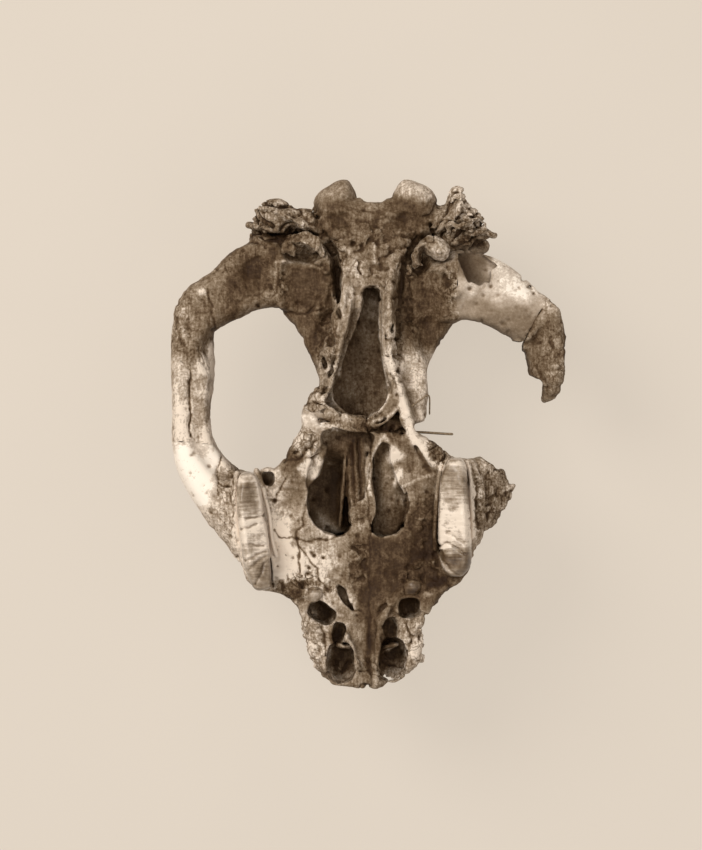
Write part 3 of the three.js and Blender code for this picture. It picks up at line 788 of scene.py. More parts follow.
# ---------------------------------------------------------------- openings
# the hollow of the nose, from the throat out through the snout
NOSE = [
    [0, 2, 60, 14, 16],
    [0, -6, 58, 18, 22],
    [0, -30, 57, 22, 26],
    [0, -56, 57, 21, 24],
    [0, -80, 57, 18, 18],
    [0, -102, 57, 16, 16],
    [0, -126, 57, 16, 17],
]
THROAT = [
    [-2.5, 68], [3, 68.6], [5.2, 66], [4.7, 54], [5, 43], [6.6, 32], [8.6, 20], [7.6, 14.4],
    [4.2, 10.6], [-0.5, 7.4], [-6.1, 8], [-11, 10.3], [-16, 15], [-17, 21], [-13.6, 29], [-10, 40],
    [-6.6, 49], [-3.6, 58],
]
WINDOW_LEFT = [
    [-22, 0.5], [-15.4, 2], [-9.4, 0.9], [-3, 0.4], [2.6, -0.6], [0.8, -7], [-1.5, -13.5],
    [-1.6, -22], [-3, -29], [-9.4, -34], [-9.6, -38], [-8.9, -44.6], [-13.1, -47.6],
    [-18.2, -46.8], [-23.9, -44.5], [-28.1, -39.3], [-29.2, -33.7], [-28.6, -27.6], [-29.3, -22.6],
    [-28.1, -14.5], [-25.3, -8.9], [-22.5, -5.6],
]
WINDOW_RIGHT = [
    [6.1, -4.4], [9.6, -6.1], [10.4, -13.6], [12.2, -18.3], [14, -23.9], [16.8, -27.1],
    [18.6, -30.6], [18.3, -36], [15.9, -43.1], [12.2, -47.3], [5.1, -48], [1.4, -46.6], [1, -43],
    [2.6, -38.4], [3.1, -33.7], [1.9, -26.7], [0.9, -22], [0.9, -13.6], [2.8, -8],
]
FOSSA_LEFT = [
    [-45.6, 58.8], [-55, 57.2], [-63.6, 51.8], [-67.2, 49], [-70.8, 45.4], [-73, 41],
    [-73.4, 25.4], [-75.4, 12], [-72.6, -4.4], [-63, -16], [-54.5, -18.3], [-50.8, -20],
    [-46.5, -17.9], [-40, -12.2], [-34.8, -2.4], [-32, 2.4], [-32, 10.8], [-25.9, 20.2],
    [-23.5, 24], [-26.8, 34.3], [-31, 43.7], [-37.1, 53.1],
]
FOSSA_RIGHT = [
    [65.8, 43.2], [58.3, 49.8], [48.4, 53.1], [42, 52.6], [34.8, 43.7], [28.7, 32], [27.7, 25.9],
    [28.6, 20], [27.7, 9.4], [26, 5.6], [21.8, 4.6], [21, 1.4], [25.9, -1.4], [32.4, -4.7],
    [37.4, -11], [45.6, -11.8], [52.2, -9.9], [60, -13.6], [76, -10], [86, 6], [79, 14],
    [74.4, 26], [71, 38],
]
EAR_WINDOW_RIGHT = [
    [41.8, 85], [49.8, 85.6], [55, 83.4], [60, 79], [57.4, 76.4], [56.4, 71.6], [52, 69.2],
    [47.4, 71.4], [43.6, 76.4],
]
INCISIVE_SLIT = [
    [-15, -71.9], [-11.4, -72.8], [-9.6, -77.6], [-7.4, -82.4], [-11, -80.6], [-14.6, -75],
]


def openings(clay):
    clay.cut(Sheet(FOSSA_LEFT, BELOW_ALL, ABOVE_ALL, 0, wobble=0.35), blend=2.5)
    clay.cut(Sheet(FOSSA_RIGHT, BELOW_ALL, ABOVE_ALL, 0, wobble=0.35), blend=2.5)
    clay.cut(Rod(NOSE, 3, cap=4), blend=2)
    clay.cut(Sheet(THROAT, 61, ABOVE_ALL, 3, wobble=0.3), blend=0.8)
    clay.cut(Sheet(WINDOW_LEFT, 66, ABOVE_ALL, 3, wobble=0.3), blend=0.8)
    clay.cut(Sheet(WINDOW_RIGHT, 66, ABOVE_ALL, 3, wobble=0.5), blend=0.8)
    clay.cut(Sheet(EAR_WINDOW_RIGHT, 63, ABOVE_ALL, 3, smooth=0, wobble=0.8), blend=0.5)
    clay.cut(Sheet(INCISIVE_SLIT, 84, ABOVE_ALL, 1), blend=0.4)
    clay.cut(Rod(CLEFT_LEFT), Rod(CLEFT_RIGHT), blend=1.5)
    # foramen magnum, and the cavity for the brain
    clay.cut(Egg([3, 106, 47], [11, 22, 11]), Egg([2, 86, 41], [22, 20, 19]), blend=3)

WINDOW_SHELF = [[-23, 3], [4, 3], [2, -6], [-8.6, -10], [-12, -12.6], [-18, -13.6], [-22, -10]]
WINDOW_PATCH = [[-21.4, -5.4], [-20, -8.8], [-22.6, -16.6], [-26.8, -23.8], [-30, -23], [-30, -10]]

LEFT_SCROLL = [[-11, -8, 68, 0.8, 12], [-12, -24, 68, 1.1, 13], [-13.4, -41, 64, 1, 13]]
RIGHT_SCROLL = [
    [6.6, -3, 73, 5, 10], [8.4, -18, 74, 6, 9], [9.4, -32, 72, 7, 9], [9, -44, 68, 7, 9],
]
WINDOW_PLASTER = [
    [[7.6, -1.4, 88, 1.6, 2], [11.2, -5.4, 88.6, 2.2, 2], [12.4, -12, 88, 2, 2]],
    [[12.4, -16.6, 88, 0.9, 1.6], [14, -21.6, 88.6, 1, 1.4], [17, -28, 88.4, 0.8, 1.4]],
]


def shelf_height(x, y):
    """The shelf at the back of the left window falls away toward the front."""
    return 81 - 9 * ramp(y, -5, -16)


def inside_nose(clay):
    """The dividing plate, the scrolls beside it, and the ledges in the windows."""
    clay.add(Rod(VOMER, 4), blend=1)
    clay.add(Rod(LEFT_SCROLL, 3), blend=1)
    clay.add(Sheet(WINDOW_LEFT, 56, 67, 6), blend=4)
    clay.add(Sheet(WINDOW_SHELF, 62, shelf_height, 6, wobble=0.8), blend=5)
    clay.add(Sheet(WINDOW_PATCH, 64, 87, 2, wobble=0.3), blend=2.5)
    # the smooth inner wall of the nose, seen through the right window
    clay.add(Sheet(WINDOW_RIGHT, 58, 78.6, 4, wobble=0.3), blend=2)
    clay.add(Rod(RIGHT_SCROLL), blend=5)
    # chipped plaster round the right window
    clay.add(*[Rod(rings) for rings in WINDOW_PLASTER], blend=0.6)
    # the thin rim of its inner side, and the long scrolls high in the nose
    clay.add(Rod([[5.4, -3.6, 87, 0.6, 1.2], [1.4, -10, 88.6, 0.7, 1.2], [0.6, -20, 88.6, 0.7, 1.2],
                  [1.6, -27, 88.6, 0.6, 1.2]]), blend=0.8)
    for side, x in ((-1, -18), (1, 12)):
        clay.add(Rod([[x, -10, 46, 4, 4], [x + side, -40, 44, 5, 5], [x, -70, 46, 4, 4]]), blend=2)
    # cleft between the right crest and the jaw
    clay.cut(Rod([[21.8, -6, 91, 0.8, 2], [24.8, -11.7, 92, 1.3, 2.6], [28, -17.2, 93, 1.5, 2.6],
                  [32, -18.8, 94, 0.8, 2]]), blend=1.4)


# ---------------------------------------------------------------- tooth sockets
# [x, y, half width, half length, turn]
SOCKETS = [
    [-13.1, -107, 6.6, 9.6, 4],
    [10.9, -105.3, 6.5, 10, -5],
    [-14.3, -93.4, 3.2, 5, -12],
    [9.8, -91.8, 3.2, 5.2, 8],
    [-22.3, -83.8, 6.8, 4.8, -32],
    [18.6, -81.6, 5, 4.7, 0],
    [-47.4, -21.2, 3, 3.3, 0],
]
LINGUAL_RIDGES = [
    [[-33, -71, 92, 1.6, 1.6], [-26, -77.5, 94, 1.4, 1.6], [-17.5, -87, 95, 1.2, 1.6],
     [-10, -97, 95.2, 1.2, 1.6], [-6.4, -107, 95, 1.1, 1.8], [-5, -115, 92, 1.1, 2]],
    [[19, -69, 91, 1.6, 1.6], [13.6, -75.5, 92.8, 1.4, 1.6], [8, -83, 93.8, 1.4, 1.6],
     [4.6, -92, 94.2, 1.4, 1.6], [3.8, -103, 94.2, 1.3, 1.8], [3.2, -114, 92, 1.1, 2]],
]


def sockets(clay):
    for rings in LINGUAL_RIDGES:
        clay.add(Rod(rings), blend=2)
    hollow = [[-3, -70, 96, 8, 4.6], [-2, -88, 96.4, 4.5, 4.6], [-0.8, -108, 97, 2.4, 5]]
    clay.cut(Rod(hollow), blend=3)
    for x, y, wide, long, turn in SOCKETS:
        clay.add(Egg([x, y, GUM - 6], [wide + 2, long + 2, 7.2], turn), blend=1.5)
    for x, y, wide, long, turn in SOCKETS:
        clay.cut(Egg([x, y, GUM - 3], [wide, long, wide * 2.2], turn, power=3), blend=0.6)
    # the wall between the two sockets of each side's incisors
    for side, x in ((-1, -12), (1, 10)):
        clay.add(Egg([x, -99.5, GUM - 9], [4, 1.2, 7], side * 10), blend=1)


# ---------------------------------------------------------------- surface of the bone
# Rough places: [x, y, half width, half length, amount]
CRUMPLED = [
    [-42, 100, 20, 13, 1], [47, 101, 17, 17, 0.8], [-17, 84, 7, 12, 0.6], [20, 84, 8, 12, 0.6],
    [3, 80, 14, 16, 0.45], [-50, 70, 26, 14, 0.15], [26, 58, 14, 20, 0.15], [60, -28, 9, 20, 0.45],
    [31, -7, 6, 7, 0.6], [38, 70, 4, 9, 0.8], [88, 30, 7, 26, 0.3], [78, 22, 5, 10, 0.5],
    [-88, 50, 7, 16, 0.3], [-30, 88, 9, 7, 0.4], [26, -48, 10, 20, 0.25], [0, -112, 22, 8, 0.6],
    [-5, -61, 4, 15, 0.5], [-33, -74, 8, 6, 0.4], [30, -70, 10, 6, 0.5], [-19, 42, 6, 18, 0.6],
    [-25, 16, 7, 9, 0.6], [12, 44, 5, 24, 0.5], [2, 98, 30, 9, 0.35], [34, -9, 6, 7, 1],
    [-31, -5, 8, 9, 0.8], [-8, 6, 18, 5, 0.45], [-4, -37, 6, 9, 0.35], [-29, -71, 15, 6, 0.6],
    [52, -30, 4, 18, 0.6], [14, 4, 6, 6, 0.5], [-43, 72, 5, 13, 0.35], [-27, -96, 6, 14, 0.4],
    [24, -98, 6, 16, 0.45], [28, -66, 12, 9, 0.5], [8, -90, 5, 18, 0.3],
]
POROUS = [
    [60, -28, 10, 20, 1], [34, -9, 6, 7, 1], [28, -52, 12, 22, 0.5], [-5, -61, 5, 15, 0.8],
    [0, -112, 22, 8, 0.5], [-42, 100, 18, 12, 0.4], [47, 101, 17, 16, 0.4],
    [-18, -98, 10, 14, 0.4], [16, -96, 12, 16, 0.4], [-20, 40, 6, 18, 0.6], [12, 42, 5, 22, 0.5],
    [-36, -74, 12, 6, 0.6], [3, 82, 14, 14, 0.35], [-90, 50, 7, 16, 0.4], [88, 32, 8, 22, 0.4],
    [-31, -5, 9, 9, 0.8], [-29, -71, 15, 7, 1], [-6, 5, 18, 6, 0.6], [51, -32, 4, 18, 0.7],
    [12, 2, 8, 6, 0.7], [-43, 72, 6, 13, 0.6], [-60, 80, 20, 6, 0.5], [62, 46, 20, 8, 0.4],
    [-4, -36, 7, 12, 0.5], [-66, -34, 5, 18, 0.5], [-27, -98, 7, 16, 0.6], [26, -66, 14, 12, 0.7],
    [10, -62, 12, 10, 0.4],
]
PLASTERED = [
    [-78, -18, 14, 16, 1], [62, 68, 22, 26, 0.9], [-27, 5, 5, 6, 0.8], [26, -6, 6, 12, 0.5],
    [-16, 116, 10, 7, 0.6], [21, 116, 10, 7, 0.6], [24, 30, 7, 14, 0.6], [9, -24, 9, 23, 0.8],
]
CRACKS = {
    "palate_left": [[-30.1, -33], [-30.1, -36.4], [-31, -43.2], [-33.8, -45.6], [-33.6, -52.6],
        [-30.5, -55.9], [-27.7, -58.8], [-24.9, -63.4], [-23, -69.1], [-19.7, -72.8]],
    "palate_left_branch": [[-33.6, -52.6], [-32.4, -59.7], [-33, -68]],
    "palate_across": [[-45, -45.6], [-41, -48.9], [-33.8, -49.3], [-26.8, -50.3], [-18.3, -49.3],
        [-11.3, -47.5]],
    "shelf": [[-39.9, -13.4], [-32.4, -11.8], [-28.7, -8]],
    "shelf_front": [[-39.5, -21.1], [-43.2, -30.1]],
    "cheek_root": [[-71, -23.5], [-68, -24.6], [-65, -25.4]],
    "slit": [[-10.3, -78.5], [-7.5, -82.7], [-4.2, -83.7]],
    "alisphenoid": [[-43.2, 58.3], [-34.8, 56.2], [-29, 57], [-22.1, 57.8]],
    "jugal": [[-84, 29.6], [-84.5, 20.2], [-84, 10.8], [-84.1, -1.9]],
    "cheek_left": [[-70.5, -29], [-71.4, -20], [-69.6, -9]],
    "gum_right": [[49, -21], [50.3, -28], [49.4, -36], [50.6, -44]],
    "snout_left": [[-22.5, -90], [-20, -98], [-20.6, -104]],
    "snout_right": [[17.6, -88], [19.2, -97], [18.2, -104]],
    "jugal_rear": [[-76.6, 67.7], [-74.7, 62], [-73.3, 55], [-72.4, 47]],
    "hook": [[81.3, 58.4], [75.6, 49], [71.4, 42.4]],
    "premolar_left": [[-63.6, -20], [-64, -32], [-63.4, -39]],
    "brow": [[-2, 10], [1.4, -8], [-1, -26], [0.6, -46], [0, -70], [0.4, -100]],
}
RAGGED = 0.8  # how far a crack strays from its line
PITS = 700
MIDLINE = [
    [-3.3, -47], [-3.9, -53], [-2.7, -60], [-3.8, -69], [-2.3, -78.5], [-0.5, -88], [0, -97],
    [-0.6, -107], [-0.9, -119],
]
VOMER_GROOVES = [[[-8.6, -6], [-7.8, -18], [-7.4, -32]], [[-5, -3], [-4.4, -16], [-3.6, -30]]]
FORAMINA = [
    [-7.5, 89.3, 1.2], [-3.6, 88.2, 0.8], [-25.8, -57.3, 0.8], [-21.6, -58.3, 0.7],
    [-28.2, -63, 0.7], [-28.7, -65.6, 0.7], [-31.5, -66.7, 0.7], [-44.2, -31.5, 1],
    [-45.1, -70.5, 0.9], [47.5, 68.1, 1.1], [57.3, 69.1, 1], [72.8, 72.8, 0.9], [75.7, 69.1, 0.9],
    [77.5, 65.8, 0.8],
]


def spotted(spots, x, y):
    """The strongest of some soft-edged oval spots at each place."""
    made = np.zeros(np.broadcast(x, y).shape)
    for sx, sy, wide, long, amount in spots:
        far = np.hypot((x - sx) / wide, (y - sy) / long)
        made = np.maximum(made, amount * (1 - ramp(far, 0.6, 1.25)))
    return made


# Noises that roughen the bone: rows of share and size of the lumps
GENTLE = (0.36, 7), (0.28, 3.4), (0.22, 1.6)
LUMPY = (1.1, (7, 5, 7)), (0.7, 2.8)
FOLDED = (1, (10, 5.4, 9)), (0.35, 3)
BENT = (3.4, 9), (1.3, 3.2)
PORES = (1, 1.9), (0.7, 3.1)
VEINS = (24, 8, 0.03), (11, 14, 0.04)  # size of the lumps, seed and width
FOLD_TURN = 0.62  # radians per millimetre across the folds behind the ears
MASTOID_OUT = 43  # how far from the midline the folds are


def crumple(clay):
    """Sharp creases between rounded folds, slanting down to the middle, behind the ears."""
    for side in (-1, 1):
        middle = side * MASTOID_OUT
        spot, (x, y, z) = clay.window([middle - 17, 90, 56], [middle + 17, 120, 90])
        x, y = np.ix_(x, y)
        across = (0.86 * y - 0.51 * np.abs(x))[:, :, None] + 0.3 * z
        bent = clay.noises(41, *BENT)[spot]
        creases = (1 - np.abs(np.sin(FOLD_TURN * across + bent))) ** 2
        amount = spotted([[middle, 101, 17, 14, 2.2]], x, y)[:, :, None]
        clay.field[spot] += (amount * creases).astype(np.float32)


def relief(clay):
    """Uneven, porous bone: gentle everywhere, crumpled behind the ears, smooth where mended."""
    x, y = np.ix_(*clay.axes[:2])
    toward_palate = ramp(clay.axes[2], 46, 66).astype(np.float32)
    rough = spotted(CRUMPLED, x, y)[:, :, None].astype(np.float32) * (0.3 + 0.7 * toward_palate)
    calm = 1 - 0.8 * spotted(PLASTERED, x, y)[:, :, None].astype(np.float32)
    clay.field += calm * clay.noises(1, *GENTLE)
    lumps = clay.noises(4, *LUMPY)
    creases = 2.0 * np.exp(-((clay.noises(6, *FOLDED) / 0.13) ** 2))
    clay.field += rough * (lumps + creases)
    del lumps, creases
    crumple(clay)
    pores = clay.noises(11, *PORES)
    worn = spotted(POROUS, x, y)[:, :, None].astype(np.float32)
    clay.field += worn * (1.5 * np.clip(pores - 0.1, 0, 1) - 0.15)
    del pores
    # long thin cracks, which run where a noise is near zero
    for size, seed, width in VEINS:
        veins = clay.noises(seed, (1, size), (0.3, size / 4))
        some = np.clip(clay.noise(size * 1.4, seed + 2) * 3, 0, 1)
        clay.field += 0.6 * calm * some * np.exp(-((veins / width) ** 2))


def cracks(clay):
    for line in CRACKS.values():
        clay.groove(line, width=0.45, depth=0.65, above=FACES_UP, ragged=RAGGED)
    clay.groove(MIDLINE, width=0.6, depth=0.15, above=80, ragged=1.2)
    for line in VOMER_GROOVES:
        clay.groove(line, width=0.9, depth=1.6, above=70, ragged=0.3)
    for x, y, size in FORAMINA:
        clay.dimple(x, y, size, 2 * size)
    # shallow pits scattered over the side that faces up
    pits = np.random.default_rng(21)
    for _ in range(PITS):
        x, y, size = pits.uniform(-88, 88), pits.uniform(-116, 112), pits.uniform(0.45, 0.9)
        clay.dimple(x, y, size, size)


SPARE = 0.02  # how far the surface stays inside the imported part's box


def keep_inside(clay):
    """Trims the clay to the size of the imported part."""
    for i, (low, high) in enumerate(zip(*cad_box)):
        place = clay.axes[i].reshape([-1 if j == i else 1 for j in range(3)])
        beyond = np.maximum(low / MM + SPARE - place, place - high / MM + SPARE)
        clay.field = np.maximum(clay.field, beyond.astype(np.float32))


# ---------------------------------------------------------------- parting the bones
KERF = -0.5  # neighbours overlap by this much, so that no light passes between them
SUTURES = {
    "mastoid_left": [[-66, 90.5], [-24, 90.5], [-25, 106], [-35, 116], [-66, 116]],
    "mastoid_right": [[29, 91], [66, 87], [66, 122], [37, 122], [32.5, 106]],
    "jugal_left_rear": [[-97, 38], [-88.8, 34.3], [-84, 29.6], [-71, 29], [-71.4, 46],
        [-73.3, 55.5], [-76.5, 66.7], [-78, 72], [-80, 86], [-97, 86]],
    "jugal_left": [[-97, -3], [-70, -5.5], [-66, 29], [-84, 29.3], [-88.8, 34], [-97, 37.7]],
    "plaster_cheek_left": [[-97, -34], [-79, -34], [-74.5, -33], [-70.5, -29], [-71.4, -20],
        [-69.6, -9], [-70, -5.8], [-97, -3.3]],
    "jugal_right": [[70, 5], [97, 5], [97, 66], [82, 66], [82, 59], [78, 53], [75.2, 47.5],
        [73.3, 42.5]],
    "plaster_cheek_right": [[44, 48], [73, 43.5], [75.2, 48.4], [78, 54], [82, 60], [82, 90],
        [40.3, 92], [42.3, 79], [41.3, 62]],
    "pterygoid_left": [[-33, 12.5], [-26.5, 10], [-19.5, 12.5], [-19, 22], [-14, 33], [-9, 50],
        [-6.5, 68], [-17, 68], [-19, 50]],
    "pterygoid_right": [[20, -4.5], [29, 0], [17, 20], [13, 40], [14.5, 68], [5, 68], [3.5, 50],
        [4.5, 36], [7, 22], [8.8, 14], [11.8, 5.5]],
    "plaster_pterygoid_left": [[-35, 4.8], [-22, -1], [-21.5, 9], [-26.6, 9.6], [-33, 12.2]],
    "palatine_bridge": [[-21.2, -1], [8, -0.5], [11.5, 5.5], [8.5, 14], [0, 12], [-19.3, 15],
        [-19.3, 12.2], [-21.2, 10]],
    "squamosal_left": [[-71.4, 45], [-21, 53], [-21, 90.2], [-84, 90.2], [-78, 72], [-76.5, 66.7],
        [-73.3, 55.5]],
    "squamosal_right": [[20.5, 48], [45, 50], [41, 62], [42, 79], [40, 90.4], [20.5, 88]],
    "maxilla_right_rear": [[48.5, -62], [72, -62], [72, -8], [48.5, -8]],
    "occipital": [[-62, 93], [62, 93], [62, 124], [-62, 124]],
    "sphenoid_left": [[-45, 12], [-2, 12], [-2, 68], [-45, 68]],
    "sphenoid_right": [[-2, 12], [45, 12], [45, 68], [-2, 68]],
    "braincase": [[-62, 12], [62, 12], [62, 93], [-62, 93]],
    "vomer": [[-8.6, -46.5], [0.4, -46.5], [0.4, 0], [-7.4, 0]],
    "premaxilla_right": [[-1, -125], [40, -125], [40, -86.2], [-2.2, -87.8]],
    "premaxilla_left": [[-40, -125], [-1, -125], [-2.2, -87.8], [-40, -89.6]],
    "maxilla_right": [[-2.2, -87.8], [49, -86], [60, 13], [-4, 13], [-3.4, -48]],
}
LOWEST = {
    "mastoid_left": 50, "mastoid_right": 50, "jugal_left_rear": 34, "jugal_left": 34,
    "plaster_cheek_left": 34, "jugal_right": 34, "plaster_cheek_right": 49, "pterygoid_left": 73,
    "pterygoid_right": 73, "plaster_pterygoid_left": 73, "palatine_bridge": 73,
    "squamosal_left": 49, "squamosal_right": 49, "maxilla_right_rear": 34, "sphenoid_left": 57,
    "sphenoid_right": 57,
}
ROOF_PLANE = (28.4, -0.2)  # height at y = 0, and rise per millimetre of y
FRONTAL_END = -46


class Under(Sheet):
    """What lies under the plane of the roof, between two places along the skull."""

    def __init__(self, back, front):
        square = [[-80, front], [80, front], [80, back], [-80, back]]
        super().__init__(square, BELOW_ALL, 60, rounding=0, smooth=0)

    def distance(self, axes):
        _, y, z = np.ix_(*axes)
        height, slope = ROOF_PLANE
        plane = (z - height - slope * y) / math.hypot(1, slope)
        return np.maximum(super().distance(axes), plane.astype(np.float32))


def region(name):
    low = LOWEST.get(name, BELOW_ALL)
    return Sheet(SUTURES[name], low, ABOVE_ALL, rounding=0, smooth=0, wobble=0.45)


def parted(clay):
    """Yields each bone's name, its distances and its seams', and the corner they start from."""
    steps = [(name, region(name)) for name in SUTURES]
    at = list(SUTURES).index("vomer")
    steps[at:at] = ("frontals", Under(12, FRONTAL_END)), ("nasals", Under(FRONTAL_END, -125))
    beyond = np.full(clay.field.shape, -FAR, np.float32)  # over 0 in the bones already parted
    for name, form in steps:
        spot, axes = clay.window(form.low, form.high, 2)
        inside = np.clip(form.distance(axes), -FAR, FAR) + KERF / 2
        seam = np.maximum(inside, beyond[spot])
        beyond[spot] = np.maximum(beyond[spot], KERF - inside)
        yield name, clay.field[spot], seam, [axis[0] for axis in axes]
    yield "maxilla_left", clay.field, beyond, [axis[0] for axis in clay.axes]


# ---------------------------------------------------------------- meshes
def polygons(field, origin, step):
    """The surface where the distances cross zero, as vertices in mm and four-sided faces."""
    grid = openvdb.FloatGrid(FAR)
    grid.copyFromArray(np.ascontiguousarray(field, np.float32))
    grid.transform = openvdb.createLinearTransform(voxelSize=step)
    points, _, quads = grid.convertToPolygons(isovalue=0.0, adaptivity=0.0)
    return points.astype(float) + origin, quads.astype(np.int64)


def slope(clay, field, points, cells=0.5):
    """Which way the distances grow fastest, and how fast, at points."""
    reach = cells * clay.step
    shifts = reach * np.eye(3)
    ahead = np.stack([clay.sample(field, points + shift) for shift in shifts], 1)
    behind = np.stack([clay.sample(field, points - shift) for shift in shifts], 1)
    return (ahead - behind) / (2 * reach)


def sharpened(points, clay, seam_clay):
    """Moves the vertices beside a seam onto its edge, which the grid rounds off."""
    near = np.abs(clay.sample(clay.field, points)) < 0.6 * clay.step
    near &= np.abs(seam_clay.sample(seam_clay.field, points)) < 0.6 * clay.step
    moved = points[near]
    for _ in range(3):
        a, b = clay.sample(clay.field, moved), seam_clay.sample(seam_clay.field, moved)
        u, v = slope(clay, clay.field, moved), slope(seam_clay, seam_clay.field, moved)
        uu, vv, uv = (u * u).sum(1), (v * v).sum(1), (u * v).sum(1)
        spread = uu * vv - uv * uv
        good = spread > 0.2 * uu * vv
        spread = np.where(good, spread, 1)
        along_u, along_v = (b * uv - a * vv) / spread, (a * uv - b * uu) / spread
        move = along_u[:, None] * u + along_v[:, None] * v
        length = np.linalg.norm(move, axis=1, keepdims=True)
        move *= np.minimum(1, 0.4 * clay.step / (length + TINY))
        moved = moved + np.where(good[:, None], move, 0)
    points = points.copy()
    points[near] = moved
    return points


def face_as_whole(piece, points, clay):
    """Gives the vertices the unparted bone's normals, so that a seam casts no shade of its own."""
    normals = slope(clay, clay.field, points, cells=1)
    normals /= np.linalg.norm(normals, axis=1, keepdims=True) + TINY
    piece.data.normals_split_custom_set_from_vertices(normals)


def biggest_shell(points, quads):
    """Drops the crumbs that cutting leaves."""
    label = np.arange(len(points))
    while True:
        lowest = label[quads].min(1)
        fresh = label.copy()
        for corner in range(4):
            np.minimum.at(fresh, quads[:, corner], lowest)
        fresh = fresh[fresh]
        if np.array_equal(fresh, label):
            break
        label = fresh
    names, counts = np.unique(label[quads[:, 0]], return_counts=True)
    quads = quads[label[quads[:, 0]] == names[counts.argmax()]]
    used, quads = np.unique(quads, return_inverse=True)
    return points[used], quads.reshape(-1, 4)


def mesh_object(name, points, quads):
    mesh = bpy.data.meshes.new(name)
    mesh.vertices.add(len(points))
    mesh.vertices.foreach_set("co", (points * MM).astype(np.float32).ravel())
    mesh.loops.add(quads.size)
    mesh.loops.foreach_set("vertex_index", quads.astype(np.int32).ravel())
    mesh.polygons.add(len(quads))
    mesh.polygons.foreach_set("loop_start", np.arange(0, quads.size, 4, dtype=np.int32))
    mesh.update(calc_edges=True)
    mesh.validate()
    mesh.shade_smooth()
    made = bpy.data.objects.new(name, mesh)
    bpy.context.scene.collection.objects.link(made)
    return made


def paint(piece, **values):
    """Stores numbers for each vertex, which the materials read."""
    for name, numbers in values.items():
        stored = piece.data.attributes.new(name, "FLOAT", "POINT")
        stored.data.foreach_set("value", np.asarray(numbers, np.float32))


def place(piece, node, slot, material):
    piece.data.materials.append(material)
    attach(piece, "root")
    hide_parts(node)


# ---------------------------------------------------------------- teeth
BLADES = {
    "left": [
        [-56.4, -22.6, 97, 4.2, 11],
        [-56.2, -25.6, 97, 5.2, 13],
        [-55.6, -33, 97, 6, 15],
        [-54.6, -42, 97, 6.3, 15],
        [-53.4, -51, 97, 6.5, 15],
        [-51.6, -61, 97, 6.4, 14],
        [-50, -68, 97, 5, 11],
    ],
    "right": [
        [40, -15.4, 97, 4.2, 11],
        [39.8, -18.6, 97, 5.5, 13],
        [39.4, -28, 97, 6.7, 15],
        [39.6, -38, 97, 7.2, 15],
        [39.8, -49, 97, 7.7, 15],
        [40.4, -57, 97, 7.1, 14],
        [40.2, -61.6, 97, 5, 11],
    ],
}
WEAR_SLOPE = 0.55
EDGE_OUT = 5.5  # how far toward the cheek the cutting edge stands
FOLDS = {
    "left": [
        [[-57.1, -39.5], [-53, -39.2], [-48.8, -38.1]],
        [[-59.9, -44.6], [-56.2, -43.7], [-52.5, -42.3]],
        [[-55.7, -51.1], [-52.5, -52], [-49.2, -52]],
        [[-57.1, -59], [-53, -57.1], [-48.3, -54.8]],
        [[-56.2, -63.6], [-52.5, -59.9], [-48.3, -57.1]],
        [[-46, -58.6], [-45.6, -64], [-45.4, -70]],
        [[-52.6, -70], [-50.4, -65], [-48.4, -60]],
    ],
    "right": [
        [[35.8, -46.5], [40, -48], [44.1, -50.2]],
        [[32.6, -52.2], [36.2, -50.2], [40.4, -53.4], [43.9, -56]],
        [[33.4, -54.6], [34.8, -59.4], [37.8, -63.6], [41, -65]],
    ],
}
# rims of bone beside the blades
BLADE_RIMS = [
    [[-52.6, -17.6, 94, 1.4, 2], [-49.4, -26.5, 95, 1, 2], [-46.6, -38.2, 95, 0.9, 2],
     [-45.2, -49.8, 95, 0.9, 2], [-43.4, -57.2, 94, 1, 2]],
    [[-61.6, -18.6, 94, 1.2, 2], [-63, -26.5, 94.6, 1.1, 2], [-62.8, -35.8, 94.6, 1.1, 2],
     [-61.6, -47.5, 94, 1, 2]],
    [[33.4, -16, 94.6, 1.1, 2], [31.8, -26.5, 95.4, 1.1, 2], [31, -37, 95.4, 1.1, 2],
     [30.4, -47, 95, 1.1, 2], [30.8, -54, 94, 1, 2]],
    [[46.4, -14.6, 94.4, 1.2, 2], [47.4, -24.2, 95, 1, 2], [47.9, -33.5, 95, 1, 2],
     [48.4, -42.8, 95, 1, 2], [48, -52, 94, 0.9, 2]],
]
PEGS = {"left": [-26, -75.5, GUM - 2], "right": [20, -72, GUM - 2.6]}
EARS = {
    "left": [[[-31, 88.8, 70], [8.4, 4.8, 8], 0], [[-36, 88.4, 75], [3.4, 3.2, 4], 0]],
    "right": [[[31.5, 87.4, 75], [7.4, 5.2, 7.6], -28], [[23, 83.6, 74], [2.6, 6.6, 6], -15]],
}
WIRES = {
    "long": [[-8, -1.8, 80, 0.6, 0.6], [16, 0.5, 80.2, 0.6, 0.6], [39, -0.5, 80, 0.6, 0.6]],
    "short": [[17, 10.5, 86, 0.36, 0.36], [24, 15.5, 86.5, 0.36, 0.36], [28, 17.5, 86, 0.36, 0.36],
        [28.4, 9, 82, 0.36, 0.36]],
}


class Blade(Rod):
    """A cutting premolar, worn on its inner side to a slope that rises to an edge at the cheek."""

    def __init__(self, side, grow=0.0):
        super().__init__(BLADES[side], 3)
        near, far = np.array(BLADES[side][2][:2]), np.array(BLADES[side][4][:2])
        run = (far - near) / np.linalg.norm(far - near)
        cheek = -1 if side == "left" else 1
        self.out = np.array([-run[1], run[0]]) * cheek
        self.near, self.grow = near, grow

    def distance(self, axes):
        body = super().distance(axes)
        x, y, z = np.ix_(*axes)
        across = (x - self.near[0]) * self.out[0] + (y - self.near[1]) * self.out[1]
        worn = (z - TIP - WEAR_SLOPE * (across - EDGE_OUT)) / math.hypot(1, WEAR_SLOPE)
        made = soft_max(body, worn.astype(np.float32), 1.2)
        return soft_max(made, (z - TIP + 0.4).astype(np.float32), 0.8) - self.grow


